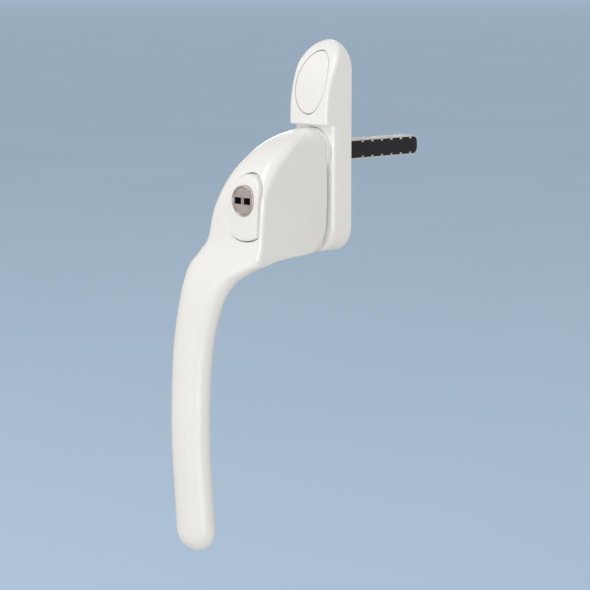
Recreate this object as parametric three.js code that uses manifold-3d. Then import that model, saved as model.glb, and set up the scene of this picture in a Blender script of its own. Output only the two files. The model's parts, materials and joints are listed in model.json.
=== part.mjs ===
// Locking espagnolette window handle: cranked lever, push-to-lock key cylinder, backplate and 7 mm spindle.
// Units are millimetres. The origin is where the spindle axis meets the window frame. +Z is up,
// +Y points into the window and -Y into the room. Each sub-part is one named mesh.

import * as THREE from 'three';
import { mergeVertices } from 'three/addons/utils/BufferGeometryUtils.js';
import { LoftGeometry } from 'three/addons/geometries/LoftGeometry.js';
import Module from 'manifold-3d';

const wasm = await Module();
wasm.setup();

// ---------- driving dimensions ----------

const GAP = 0.3;              // between pieces that rest on each other
const RUNNING_GAP = 0.12;     // between pieces that turn or slide in each other
const OVERCUT = 1;            // how far a cutting tool runs past the face it opens
const FAR = 200;              // half the size of a tool that keeps one side of a plane
const NEARLY_ALL = 0.999;     // keeps two roundings that meet from crossing
const SECTION_FLAT = 0.5;     // least flat between two roundings on the lever's left side
const SMALLEST_CORNER = 0.3;
const WELD = 1e-5;            // points closer than this are one

// Flat sides of the round pieces.
const SIDES = { tiny: 12, thin: 16, small: 20, medium: 24, round: 32, large: 36, widest: 40 };
const CURVE_STEPS = 10;       // straight pieces per arc of an outline
const FACE_STEPS = 12;        // straight pieces along a curved face
const EDGE_STEPS = 3;         // straight pieces across a rounded edge
const CORNER_STEPS = 4;       // straight pieces per corner of the lever's sections
const TOP_STEPS = 7;
const TIP_STEPS = 6;
const TIP_LAST_ANGLE = 1.547; // just short of a quarter turn, so that the tip keeps a small flat
// From, to and step of the heights at which the lever's sections are drawn.
const SECTION_STEPS = [[-4, -33, 4.2], [-33, -39.6, 0.8], [-40.6, -60, 3.2], [-64, -133, 11.5]];

const PLATE_WIDTH = 21;
const PLATE_BOTTOM = -35;
const PLATE_TOP = 38.8;
const PLATE_DEPTH = 8.1;
const PLATE_CORNER = 9;
const PLATE_EDGE = 1;
const PLATE_DRAFT = 0.126;    // how far each side comes in per millimetre towards the room
const BLOCK_BOTTOM = 9.6;     // lower edge of the raised cover block
const BLOCK_DEPTH = 11.2;
const BLOCK_CURVE_START = 13; // above this height the block's face bends back
const BLOCK_CURVE_RADIUS = 38;
const FIXING_OFFSET = 21.5;   // half of the standard 43 mm fixing centres
const FIXING_RADIUS = 2.65;
const FIXING_HEAD_RADIUS = 4.9;

const CAP_CENTRE = 24.2;
const CAP_HALF_WIDTH = 7.1;
const CAP_HALF_HEIGHT = 10.8;
const CAP_THICKNESS = 1.5;
const CAP_LEG_HEIGHTS = [15.6, 32];
const CAP_LEG_WIDTH = 4;
const CAP_LEG_THICKNESS = 1.2;
const CAP_LEG_LENGTH = 2.2;

const SPINDLE_SIZE = 7;
const SPINDLE_REACH = 42.2;   // how far it stands out behind the plate
const SPINDLE_ROOT = 22;      // how far it goes into the lever, from the frame
const SPINDLE_CHAMFER = 0.5;
const SPINDLE_END_RADIUS = 4; // rounding of its end, seen from the side
const SPINDLE_END_FLAT = 0.15; // what is cut off the rounded end
const NOTCH_FIRST = 13.1;
const NOTCH_PITCH = 5;
const NOTCH_COUNT = 6;
const NOTCH_WIDTH = 1.1;
const NOTCH_DEPTH = 1.1;

const HUB_RADIUS = 6;         // the lever's stub shaft in the plate
const HUB_END = 0.7;          // distance of its end from the frame
const BUSH_WALL = 1;
const DETENT_DISC_RADIUS = 8.9;
const DETENT_DISC_THICKNESS = 1.3;
const DETENT_TRACK_RADIUS = 7.35;
const DETENT_BALL_RADIUS = 0.9;
const DETENT_BALL_REACH = 0.45;
const COLLAR_RADIUS = 8.85;
const COLLAR_FRONT = 9.8;     // a thin groove is left between here and the hood
const COLLAR_NECK_RADIUS = 8.3;
const COLLAR_END = 6.5;       // face of the collar that holds the detent balls
const BUSH_FRONT = 5;
const RING_POCKET_RADIUS = 8.7;
const RING_POCKET_DEPTH = 2.7;
const STOP_PIN_RADIUS = 0.7;
const STOP_PIN_TRACK = 7.95;
const STOP_PIN_ANGLE = 45;
const TURN_RANGE = 90;
const DETENT_POCKET_END = 13.5;
const DETENT_WIRE = 0.18;
const DETENT_COIL = { turns: 4, stepsPerTurn: 9, sides: 4 };
const WASHER_RADIUS = 8;
const RING_RADIUS = 7.4;
const RING_PLAY = 0.05;
const RING_OPENING = 5;
const RING_GROOVE_RADIUS = 5.4;
const RING_GROOVE_FRONT = 1.9;
const RING_GROOVE_BACK = 1.1;
const SPINDLE_PIN_RADIUS = 0.9;
const SPINDLE_PIN_Y = 3.9;

const HOOD_RADIUS = 8.6;      // round top of the hood
const HOOD_BASE = 10;
const HOOD_REACH = 31.3;
const HOOD_FULL_DEPTH_Z = -18;
const HOOD_BULGE = 2;         // exponent of the hood's side-view curve
const TIP_START = -133;
const TIP_END = -140.4;

const BARREL_Z = -14.8;
const BARREL_RADIUS = 5.25;
const BARREL_FRONT = 42.5;
const BARREL_BACK = 24;
const PLUG_RADIUS = 4.6;
const PLUG_BACK = 27.4;
const KEY_SLOT_WIDTH = 3.15;
const KEY_SLOT_HEIGHT = 2.3;
const KEY_RIB_WIDTH = 1.35;
const KEY_SLOT_BACK = 29;
const WAFER_COUNT = 5;
const WAFER_PITCH = 2.1;
const WAFER_FIRST = 40;
const WAFER_THICKNESS = 0.8;
const WAFER_HALF_WIDTH = 2;
const WAFER_TOP = 3.9;
const WAFER_BOTTOM = -2.9;
const WAFER_KEY_ROOM = 0.15;  // the wafers' windows are this much larger than the key slots
const WAFER_SPRING_ROOM = 1.1;
const WAFER_SPRING_LENGTH = 0.9;
const WAFER_SPRING_RADIUS = 0.28;
const WAFER_SPRING_WIRE = 0.07;
const WAFER_COIL = { turns: 3, stepsPerTurn: 8, sides: 4 };
const WAFER_CHANNEL = [-41, -31]; // the grooves in the cylinder body that catch the wafers
const WAFER_CHANNEL_DEPTH = 0.45;

const BUTTON_RADIUS = 7.15;   // its round top
const BUTTON_TOP = -5.75;
const BUTTON_FOOT_HALF_WIDTH = 6.5;
const BUTTON_BOTTOM = -28.6;
const BUTTON_FOOT_RADIUS = 14; // its bottom edge is a shallow arc
const BUTTON_CORNER = 1;
const BUTTON_EDGE = 0.6;
const BUTTON_FRONT = 42.2;
const BUTTON_BACK = 30;
const BUTTON_TOP_SETBACK = 3.8;
const BUTTON_BEND = -16;      // above this height the button's face bends back
const GUIDE_FRONT = 26.3;     // face of the guide block at the bottom of the button's pocket
const POCKET_BACK = 18.5;
const LOCK_PIN_Z = -12.6;
const LOCK_PIN_RADIUS = 1.6;
const LOCK_PIN_END = 9.6;
const CARRIER_THICKNESS = 1.3;
const CARRIER_SCREW_X = [-4, 4];
const CARRIER_SCREW_RADIUS = 0.5;
const CARRIER_SCREW_HEAD_RADIUS = 0.95;
const CARRIER_SCREW_HEAD = 0.5;
const CARRIER_SCREW_DEPTH = 0.6;
const CAM_SCREW_BORE = 0.85;
const RETURN_SPRING_RADIUS = 2.3;
const RETURN_SPRING_WIRE = 0.25;
const RETURN_COIL = { turns: 3, stepsPerTurn: 12, sides: 5 };
const CAM_THICKNESS = 1.2;
const CAM_HUB_RADIUS = 2.6;
const CAM_LOBE_REACH = 3.2;
const CAM_LOBE_RADIUS = 1.2;
const CAM_FLANK = 0.5;        // lean of the cam's flanks, in radians
const CAM_SCREW_RADIUS = 0.7;
const CAM_SCREW_HEAD_RADIUS = 1.6;
const CAM_SCREW_HEAD = 0.7;
const CAM_SCREW_DEPTH = 1;
const PIN_BUSH_WALL = 0.8;

// ---------- materials ----------

function finish(color, roughness, metalness) {
  return new THREE.MeshStandardMaterial({ color, roughness, metalness });
}

const whiteCoat = finish(0xf2f1ee, 0.35, 0);
const whitePlastic = finish(0xf0efea, 0.42, 0);
const satinNickel = finish(0xb4aca5, 0.38, 1);
const blackSteel = finish(0x26262d, 0.45, 0.8);
const springSteel = finish(0x9a9a9c, 0.35, 1);
const zincSteel = finish(0xb9bbbd, 0.4, 1);
const brass = finish(0xc2a25a, 0.35, 1);
const nylon = finish(0xe6e2d6, 0.6, 0);

// ---------- solids ----------

function solidFrom(geometry) {
  const plain = geometry.index ? geometry.toNonIndexed() : geometry.clone();
  plain.deleteAttribute('normal');
  plain.deleteAttribute('uv');
  const merged = mergeVertices(plain, WELD);
  return new wasm.Manifold(new wasm.Mesh({
    numProp: 3,
    vertProperties: new Float32Array(merged.attributes.position.array),
    triVerts: new Uint32Array(merged.index.array),
  }));
}

function box(x0, x1, y0, y1, z0, z1) {
  const geometry = new THREE.BoxGeometry(x1 - x0, y1 - y0, z1 - z0);
  geometry.translate((x0 + x1) / 2, (y0 + y1) / 2, (z0 + z1) / 2);
  return solidFrom(geometry);
}

// A round bar along Y, from y0 to y1; its radius may change from one end to the other.
function bar(x, z, radius, y0, y1, sides = SIDES.round, farRadius = radius) {
  const geometry = new THREE.CylinderGeometry(farRadius, radius, y1 - y0, sides);
  geometry.translate(x, (y0 + y1) / 2, z);
  return solidFrom(geometry);
}

function tube(x, z, inner, outer, y0, y1, sides = SIDES.round) {
  return bar(x, z, outer, y0, y1, sides).subtract(bar(x, z, inner, y0 - OVERCUT, y1 + OVERCUT, sides));
}

// An outline drawn in X and Z, carried along Y from y1 (nearer the window) to y0.
function slab(shape, y0, y1, edge = 0) {
  const geometry = new THREE.ExtrudeGeometry(shape, {
    depth: y1 - y0 - edge,
    curveSegments: CURVE_STEPS,
    bevelEnabled: edge > 0,
    bevelThickness: edge,
    bevelSize: edge,
    bevelOffset: -edge,
    bevelSegments: EDGE_STEPS,
  });
  geometry.rotateX(Math.PI / 2);
  geometry.translate(0, y1, 0);
  const solid = solidFrom(geometry);
  return edge > 0 ? solid.intersect(box(-FAR, FAR, -FAR, y1, -FAR, FAR)) : solid;
}

// A wire coil with its axis along Y.
class CoilCurve extends THREE.Curve {
  constructor(x, z, radius, y0, y1, turns) {
    super();
    Object.assign(this, { x, z, radius, y0, y1, turns });
  }

  getPoint(t, target = new THREE.Vector3()) {
    const angle = t * this.turns * 2 * Math.PI;
    return target.set(
      this.x + this.radius * Math.cos(angle),
      this.y0 + (this.y1 - this.y0) * t,
      this.z + this.radius * Math.sin(angle),
    );
  }
}

function roundSection(radius, sides) {
  const points = [];
  for (let i = 0; i < sides; i++) {
    const angle = (i / sides) * 2 * Math.PI;
    points.push(new THREE.Vector2(radius * Math.cos(angle), radius * Math.sin(angle)));
  }
  return new THREE.Shape(points);
}

function coil(x, z, radius, wire, y0, y1, { turns, stepsPerTurn, sides }) {
  return solidFrom(new THREE.ExtrudeGeometry(roundSection(wire, sides), {
    extrudePath: new CoilCurve(x, z, radius, y0 + wire, y1 - wire, turns),
    steps: turns * stepsPerTurn,
    bevelEnabled: false,
  }));
}

const handle = new THREE.Group();

function addPart(name, solid, material) {
  const mesh = solid.getMesh();
  const geometry = new THREE.BufferGeometry();
  geometry.setAttribute('position', new THREE.BufferAttribute(new Float32Array(mesh.vertProperties), 3));
  geometry.setIndex(new THREE.BufferAttribute(new Uint32Array(mesh.triVerts), 1));
  geometry.computeVertexNormals();
  const part = new THREE.Mesh(geometry, material);
  part.name = name;
  handle.add(part);
}

// ---------- outlines ----------

// Round at the top, with rounded corners at the bottom.
function archOutline(halfWidth, bottom, top, corner) {
  const shoulder = top - halfWidth;
  const shape = new THREE.Shape();
  shape.moveTo(halfWidth, bottom + corner);
  shape.lineTo(halfWidth, shoulder);
  shape.absarc(0, shoulder, halfWidth, 0, Math.PI, false);
  shape.lineTo(-halfWidth, bottom + corner);
  shape.absarc(-halfWidth + corner, bottom + corner, corner, Math.PI, 1.5 * Math.PI, false);
  shape.lineTo(halfWidth - corner, bottom);
  shape.absarc(halfWidth - corner, bottom + corner, corner, 1.5 * Math.PI, 2 * Math.PI, false);
  return shape;
}

function ellipseOutline(halfWidth, halfHeight, centreZ) {
  const shape = new THREE.Shape();
  shape.absellipse(0, centreZ, halfWidth, halfHeight, 0, 2 * Math.PI, false, 0);
  return shape;
}

// A band of a ring between two angles, measured from +X towards +Z, with square ends.
function arcBand(inner, outer, from, to) {
  const shape = new THREE.Shape();
  shape.absarc(0, 0, outer, from, to, false);
  shape.absarc(0, 0, inner, to, from, true);
  shape.closePath();
  return shape;
}

// ---------- backplate and what stays on the window ----------

// The side view of the plate's front, moved towards the window by `inset`.
function faceProfile(inset) {
  const shape = new THREE.Shape();
  const front = -BLOCK_DEPTH + inset;
  const rise = PLATE_TOP + OVERCUT - BLOCK_CURVE_START;
  const radius = BLOCK_CURVE_RADIUS;
  shape.moveTo(BLOCK_DEPTH, PLATE_BOTTOM - OVERCUT);
  shape.lineTo(BLOCK_DEPTH, PLATE_TOP + OVERCUT);
  shape.absarc(front + radius, BLOCK_CURVE_START, radius, Math.PI - Math.asin(rise / radius), Math.PI, false);
  shape.lineTo(front, BLOCK_BOTTOM);
  shape.lineTo(-PLATE_DEPTH + inset, BLOCK_BOTTOM);
  shape.lineTo(-PLATE_DEPTH + inset, PLATE_BOTTOM - OVERCUT);
  return shape;
}

function faceLimit(inset) {
  return acrossWidth(faceProfile(inset));
}

// An outline drawn in Y and Z, carried across the full width.
function acrossWidth(shape) {
  const width = PLATE_WIDTH + 2 * OVERCUT;
  const settings = { depth: width, curveSegments: FACE_STEPS, bevelEnabled: false };
  const geometry = new THREE.ExtrudeGeometry(shape, settings);
  geometry.rotateX(Math.PI / 2);
  geometry.rotateZ(Math.PI / 2);
  geometry.translate(-width / 2, 0, 0);
  return solidFrom(geometry);
}

// Draws the sides of the plate in towards the room, so that it comes out of its mould.
function draftSides(point) {
  point[0] *= 1 + (PLATE_DRAFT * point[1]) / (PLATE_WIDTH / 2);
}

function makeBackplate() {
  const outline = archOutline(PLATE_WIDTH / 2, PLATE_BOTTOM, PLATE_TOP, PLATE_CORNER);
  const aboveStep = box(-PLATE_WIDTH, PLATE_WIDTH, -BLOCK_DEPTH, 0, BLOCK_BOTTOM, PLATE_TOP);
  let plate = slab(outline, -PLATE_DEPTH, 0, PLATE_EDGE)
    .add(slab(outline, -BLOCK_DEPTH, 0, PLATE_EDGE).intersect(aboveStep))
    .intersect(faceLimit(0))
    .warp(draftSides);
  const pocketOutline = ellipseOutline(CAP_HALF_WIDTH + GAP, CAP_HALF_HEIGHT + GAP, CAP_CENTRE);
  const coverPocket = slab(pocketOutline, -2 * BLOCK_DEPTH, 0).subtract(faceLimit(CAP_THICKNESS + GAP));
  plate = plate.subtract(coverPocket);
  for (const z of CAP_LEG_HEIGHTS) {
    const halfWidth = CAP_LEG_WIDTH / 2 + GAP;
    const halfThickness = CAP_LEG_THICKNESS / 2 + GAP;
    const back = coverFace(z) + CAP_THICKNESS + CAP_LEG_LENGTH + GAP;
    const slot = box(-halfWidth, halfWidth, -FAR, back, z - halfThickness, z + halfThickness);
    plate = plate.subtract(slot);
  }
  for (const z of [FIXING_OFFSET, -FIXING_OFFSET]) {
    const head = z > 0 ? coverFace(z) + CAP_THICKNESS + GAP : -PLATE_DEPTH;
    const coneEnd = head + FIXING_HEAD_RADIUS - FIXING_RADIUS;
    plate = plate.subtract(bar(0, z, FIXING_RADIUS, -FAR, OVERCUT));
    plate = plate.subtract(bar(0, z, FIXING_HEAD_RADIUS, head - OVERCUT, head + RUNNING_GAP));
    plate = plate.subtract(bar(0, z, FIXING_HEAD_RADIUS, head, coneEnd, SIDES.round, FIXING_RADIUS));
  }
  const front = -PLATE_DEPTH - OVERCUT;
  plate = plate.subtract(bar(0, 0, DETENT_DISC_RADIUS + RUNNING_GAP, front, -BUSH_FRONT, SIDES.widest));
  const bushBore = HUB_RADIUS + 2 * RUNNING_GAP + BUSH_WALL;
  plate = plate.subtract(bar(0, 0, bushBore, -PLATE_DEPTH, OVERCUT, SIDES.large));
  plate = plate.subtract(bar(0, 0, RING_POCKET_RADIUS, -RING_POCKET_DEPTH, OVERCUT, SIDES.large));
  plate = plate.subtract(bar(0, LOCK_PIN_Z, LOCK_PIN_RADIUS + GAP, front, -PLATE_DEPTH / 2, SIDES.medium));
  const [pinX, pinZ] = onCircle(STOP_PIN_TRACK, STOP_PIN_ANGLE);
  const pinEnd = -RING_POCKET_DEPTH - OVERCUT;
  plate = plate.subtract(bar(pinX, pinZ, STOP_PIN_RADIUS + RUNNING_GAP, front, pinEnd, SIDES.thin));
  addPart('backplate', plate, whiteCoat);
}

// Y of the cover block's curved face at height z.
function coverFace(z) {
  const rise = Math.max(0, z - BLOCK_CURVE_START);
  return -BLOCK_DEPTH + BLOCK_CURVE_RADIUS - Math.sqrt(BLOCK_CURVE_RADIUS ** 2 - rise ** 2);
}

function onCircle(radius, degrees) {
  const angle = THREE.MathUtils.degToRad(degrees);
  return [radius * Math.cos(angle), radius * Math.sin(angle)];
}

function makeCoverCap() {
  const outline = ellipseOutline(CAP_HALF_WIDTH, CAP_HALF_HEIGHT, CAP_CENTRE);
  let cap = slab(outline, -2 * BLOCK_DEPTH, 0).intersect(faceLimit(0)).subtract(faceLimit(CAP_THICKNESS));
  for (const z of CAP_LEG_HEIGHTS) {
    const face = coverFace(z) + CAP_THICKNESS;
    const root = face - CAP_THICKNESS / 3;
    const halfThickness = CAP_LEG_THICKNESS / 2;
    const halfWidth = CAP_LEG_WIDTH / 2;
    const leg = box(-halfWidth, halfWidth, root, face + CAP_LEG_LENGTH, z - halfThickness, z + halfThickness);
    cap = cap.add(leg);
  }
  addPart('cover_cap', cap, whitePlastic);
}

function makeHubBush() {
  const inner = HUB_RADIUS + RUNNING_GAP;
  const front = -BUSH_FRONT + RUNNING_GAP;
  const back = -RING_POCKET_DEPTH - RUNNING_GAP;
  addPart('hub_bush', tube(0, 0, inner, inner + BUSH_WALL, front, back, SIDES.large), nylon);
}

function makeDetentDisc() {
  const front = -BUSH_FRONT - DETENT_DISC_THICKNESS;
  const trackWidth = DETENT_BALL_RADIUS + RUNNING_GAP;
  const trackFloor = -COLLAR_END + DETENT_BALL_REACH + 2 * RUNNING_GAP;
  const back = -BUSH_FRONT - RUNNING_GAP;
  let disc = tube(0, 0, HUB_RADIUS + RUNNING_GAP, DETENT_DISC_RADIUS, front, back, SIDES.widest);
  for (const start of [-TURN_RANGE, TURN_RANGE]) {
    const endRoom = THREE.MathUtils.radToDeg(trackWidth / DETENT_TRACK_RADIUS);
    const from = THREE.MathUtils.degToRad(start - endRoom);
    const to = THREE.MathUtils.degToRad(start + TURN_RANGE + endRoom);
    const band = arcBand(DETENT_TRACK_RADIUS - trackWidth, DETENT_TRACK_RADIUS + trackWidth, from, to);
    disc = disc.subtract(slab(band, front - OVERCUT, trackFloor));
  }
  const [pinX, pinZ] = onCircle(STOP_PIN_TRACK, STOP_PIN_ANGLE);
  disc = disc.subtract(bar(pinX, pinZ, STOP_PIN_RADIUS + RUNNING_GAP, -PLATE_DEPTH, 0, SIDES.thin));
  addPart('detent_disc', disc, zincSteel);
}

function makeStopPin() {
  const [x, z] = onCircle(STOP_PIN_TRACK, STOP_PIN_ANGLE);
  const back = -RING_POCKET_DEPTH - OVERCUT - RUNNING_GAP;
  addPart('stop_pin', bar(x, z, STOP_PIN_RADIUS, -COLLAR_END - OVERCUT, back, SIDES.thin), springSteel);
}

// ---------- lever handle ----------

// Values along the handle are given at a few heights and joined by a smooth curve that never overshoots.
function smoothCurve(knots) {
  const z = knots.map((knot) => knot[0]);
  const v = knots.map((knot) => knot[1]);
  const slope = z.slice(1).map((_, i) => (v[i + 1] - v[i]) / (z[i + 1] - z[i]));
  const tangent = z.map((_, i) => {
    if (i === 0) return slope[0];
    if (i === z.length - 1) return slope[i - 1];
    const product = slope[i - 1] * slope[i];
    return product > 0 ? (2 * product) / (slope[i - 1] + slope[i]) : 0;
  });
  return (height) => {
    if (height >= z[0]) return v[0];
    let i = 0;
    while (i < z.length - 2 && height < z[i + 1]) i++;
    const span = z[i + 1] - z[i];
    const t = Math.min(1, (height - z[i]) / span);
    const a = (1 + 2 * t) * (1 - t) ** 2;
    const b = t * (1 - t) ** 2;
    const c = t * t * (3 - 2 * t);
    const d = t * t * (t - 1);
    return a * v[i] + b * span * tangent[i] + c * v[i + 1] + d * span * tangent[i + 1];
  };
}

const leftFlare = smoothCurve([
  [HOOD_RADIUS, 0], [5, 0.1], [0, 1.3], [-5, 3.7], [-12, 6.4], [-20, 9.9], [-30, 12.8], [-34, 15.8],
  [-38, 18.7], [-44, 19.9], [-56, 21.2], [-70, 22.4], [-98, 23], [-132, 21.6],
]);
const rightEdge = smoothCurve([
  [0, HOOD_RADIUS], [-16, 8.9], [-22, 8.6], [-28, 8.2], [-34, 8.1], [-36.5, 7.3], [-39, 3.2], [-43, -3.2],
  [-48, -7.4], [-56, -10.6], [-66, -12.9], [-82, -14.3], [-100, -14.6], [-132, -12.9],
]);
const lowerFront = smoothCurve([
  [HOOD_FULL_DEPTH_Z, HOOD_BASE + HOOD_REACH], [-28, 41.6], [-34, 42.9], [-42, 45.8], [-50, 48], [-60, 49.5],
  [-76, 50.5], [-96, 50.8], [-133, 50],
]);
const backEdge = smoothCurve([
  [-33.6, HOOD_BASE], [-34.4, 11.5], [-34.9, 19], [-35.7, 28], [-37, 34], [-39, 36.8], [-43, 38.6],
  [-50, 39.7], [-64, 40.5], [-96, 41], [-133, 40.4],
]);
const frontLeftX = smoothCurve([
  [HOOD_RADIUS, 4], [0, 6], [-10, 5], [-22, 4.5], [-30, 5], [-38, 7], [-50, 8.5],
]);
const frontLeftY = smoothCurve([[HOOD_RADIUS, 4], [0, 6], [-10, 5], [-22, 4.5], [-30, 5], [-60, 4.6]]);
const frontRightX = smoothCurve([
  [HOOD_RADIUS, 4], [0, 5], [-9, 3.2], [-12, 1.9], [-15, 1.4], [-28, 1.3], [-31, 1.8], [-34, 2.6], [-38, 5],
  [-50, 6.5],
]);
const frontRightY = smoothCurve([
  [HOOD_RADIUS, 4], [0, 5], [-9, 3.2], [-12, 1.9], [-15, 1.4], [-28, 1.3], [-31, 1.8], [-34, 2.6], [-60, 4.6],
]);
const backRightX = smoothCurve([[-27, 0.6], [-32, 2.4], [-35, 6], [-50, 8.5]]);
const backRightY = smoothCurve([[-27, 0.6], [-32, 6], [-34.6, 10], [-36.5, 5], [-39, 4], [-60, 4.9]]);
const backLeftX = smoothCurve([
  [HOOD_RADIUS, 0.6], [5, 0.8], [0, 3], [-5, 5.8], [-10, 8.6], [-20, 10.6], [-32, 13], [-36, 14], [-46, 8.5],
]);
const backLeftY = smoothCurve([
  [HOOD_RADIUS, 0.6], [5, 3], [0, 14], [-20, 24], [-32, 20], [-36, 10], [-40, 5], [-60, 4.9],
]);

function hoodFront(z) {
  if (z <= HOOD_FULL_DEPTH_Z) return lowerFront(z);
  const t = (z - HOOD_FULL_DEPTH_Z) / (HOOD_RADIUS - HOOD_FULL_DEPTH_Z);
  return HOOD_BASE + HOOD_REACH * (1 - t ** HOOD_BULGE) ** (1 / HOOD_BULGE);
}

// Left, right, front and back limits of the handle at height z.
function handleLimits(z) {
  const halfWidth = z > 0 ? Math.sqrt(HOOD_RADIUS ** 2 - z ** 2) : HOOD_RADIUS;
  const right = z > 0 ? halfWidth : rightEdge(z);
  return { left: -halfWidth - leftFlare(z), right, front: -hoodFront(z), back: -backEdge(z) };
}

// The four corners of the section at height z: outermost point, and reach of the rounding in X and Y.
function handleCorners(z) {
  const { left, right, front, back } = handleLimits(z);
  const halfX = ((right - left) / 2) * NEARLY_ALL;
  const halfY = ((back - front) / 2) * NEARLY_ALL;
  const roomY = 2 * halfY - frontLeftY(z) - SECTION_FLAT;
  const sweepY = Math.max(SMALLEST_CORNER, Math.min(backLeftY(z), roomY));
  return [
    { x: right, y: back, rx: Math.min(backRightX(z), halfX), ry: Math.min(backRightY(z), halfY) },
    { x: left, y: back, rx: Math.min(backLeftX(z), 2 * halfX - OVERCUT), ry: sweepY },
    { x: left, y: front, rx: Math.min(frontLeftX(z), halfX), ry: Math.min(frontLeftY(z), halfY) },
    { x: right, y: front, rx: Math.min(frontRightX(z), halfX), ry: Math.min(frontRightY(z), halfY) },
  ];
}

// A closed, rounded outline at height z; `size` draws it in towards its middle for the tip.
function handleSection(z, size, segments) {
  const shapeZ = Math.max(z, TIP_START);
  const { left, right, front, back } = handleLimits(shapeZ);
  const middle = new THREE.Vector3((left + right) / 2, (front + back) / 2, z);
  const points = [];
  handleCorners(shapeZ).forEach(({ x, y, rx, ry }, index) => {
    const outX = index === 0 || index === 3 ? 1 : -1;
    const outY = index < 2 ? 1 : -1;
    for (let i = 0; i <= segments; i++) {
      const angle = (index + i / segments) * (Math.PI / 2);
      const pointX = x - rx * (outX - Math.cos(angle));
      const pointY = y - ry * (outY - Math.sin(angle));
      points.push(new THREE.Vector3(pointX, pointY, z).lerp(middle, 1 - size));
    }
  });
  return points.reverse();
}

// Heights of the sections, and the size of each: closer together where the shape changes quickly.
function handleHeights() {
  const heights = [];
  for (let i = 0; i <= TOP_STEPS; i++) {
    heights.push([(HOOD_RADIUS - 0.02) * Math.cos((i / TOP_STEPS) * (Math.PI / 2)), 1]);
  }
  for (const [from, to, step] of SECTION_STEPS) {
    for (let z = from; z > to; z -= step) heights.push([z, 1]);
  }
  for (let i = 0; i <= TIP_STEPS; i++) {
    const angle = (i / TIP_STEPS) * TIP_LAST_ANGLE;
    heights.push([TIP_START + (TIP_END - TIP_START) * Math.sin(angle), Math.cos(angle)]);
  }
  return heights;
}

function handleBody() {
  const sections = handleHeights().map(([z, size]) => handleSection(z, size, CORNER_STEPS));
  return solidFrom(new LoftGeometry(sections, { capStart: true, capEnd: true }));
}

// A round top, tapering sides, and a shallow arc along the bottom between two tight corners.
function buttonOutline(growth) {
  const radius = BUTTON_RADIUS + growth;
  const shoulder = BUTTON_TOP - BUTTON_RADIUS;
  const corner = BUTTON_CORNER + growth;
  const footZ = BUTTON_BOTTOM + BUTTON_FOOT_RADIUS;
  const reach = BUTTON_FOOT_RADIUS - BUTTON_CORNER;
  const cornerX = BUTTON_FOOT_HALF_WIDTH - BUTTON_CORNER;
  const lean = Math.asin(cornerX / reach);
  const cornerZ = footZ - reach * Math.cos(lean);
  const [fromLeft, toRight] = [1.5 * Math.PI - lean, 1.5 * Math.PI + lean];
  const shape = new THREE.Shape();
  shape.absarc(0, shoulder, radius, 0, Math.PI, false);
  shape.absarc(-cornerX, cornerZ, corner, Math.PI, fromLeft, false);
  shape.absarc(0, footZ, BUTTON_FOOT_RADIUS + growth, fromLeft, toRight, false);
  shape.absarc(cornerX, cornerZ, corner, toRight, 2 * Math.PI, false);
  shape.closePath();
  return shape;
}

function makeLeverHandle() {
  let lever = handleBody()
    .add(bar(0, 0, COLLAR_NECK_RADIUS, -HOOD_BASE - OVERCUT, -COLLAR_END, SIDES.widest))
    .add(bar(0, 0, COLLAR_RADIUS, -COLLAR_FRONT, -COLLAR_END, SIDES.widest))
    .add(bar(0, 0, HUB_RADIUS, -COLLAR_END - OVERCUT, -HUB_END, SIDES.large));
  const socket = SPINDLE_SIZE / 2 + RUNNING_GAP;
  lever = lever.subtract(box(-socket, socket, -SPINDLE_ROOT - RUNNING_GAP, OVERCUT, -socket, socket));
  lever = lever.subtract(slab(buttonOutline(GAP), -FAR, -POCKET_BACK));
  const bushRadius = LOCK_PIN_RADIUS + PIN_BUSH_WALL + 2 * RUNNING_GAP;
  lever = lever.subtract(bar(0, LOCK_PIN_Z, bushRadius, -POCKET_BACK - OVERCUT, 0, SIDES.medium));
  for (const angle of [0, 180]) {
    const [x, z] = onCircle(DETENT_TRACK_RADIUS, angle);
    lever = lever.subtract(bar(x, z, DETENT_BALL_RADIUS + RUNNING_GAP, -DETENT_POCKET_END, 0, SIDES.small));
  }
  const slotWidth = STOP_PIN_RADIUS + RUNNING_GAP;
  const endRoom = THREE.MathUtils.radToDeg(slotWidth / STOP_PIN_TRACK) + 1;
  const from = THREE.MathUtils.degToRad(STOP_PIN_ANGLE - endRoom);
  const to = THREE.MathUtils.degToRad(STOP_PIN_ANGLE + TURN_RANGE + endRoom);
  const slot = arcBand(STOP_PIN_TRACK - slotWidth, COLLAR_RADIUS + OVERCUT, from, to);
  const aroundHub = bar(0, 0, HUB_RADIUS, -FAR, OVERCUT, SIDES.large);
  lever = lever.subtract(slab(slot, -COLLAR_END - OVERCUT - 2 * GAP, 0).subtract(aroundHub));
  const [grooveFront, grooveBack] = [-RING_GROOVE_FRONT, -RING_GROOVE_BACK];
  const outer = HUB_RADIUS + OVERCUT;
  lever = lever.subtract(tube(0, 0, RING_GROOVE_RADIUS, outer, grooveFront, grooveBack, SIDES.large));
  lever = lever.subtract(crossPin(SPINDLE_PIN_RADIUS + RUNNING_GAP, 2 * HUB_RADIUS + OVERCUT));
  addPart('lever_handle', lever, whiteCoat);
}

function crossPin(radius, length) {
  const geometry = new THREE.CylinderGeometry(radius, radius, length, SIDES.thin);
  geometry.rotateZ(Math.PI / 2);
  geometry.translate(0, -SPINDLE_PIN_Y, 0);
  return solidFrom(geometry);
}

// ---------- pieces that turn with the lever ----------

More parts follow.
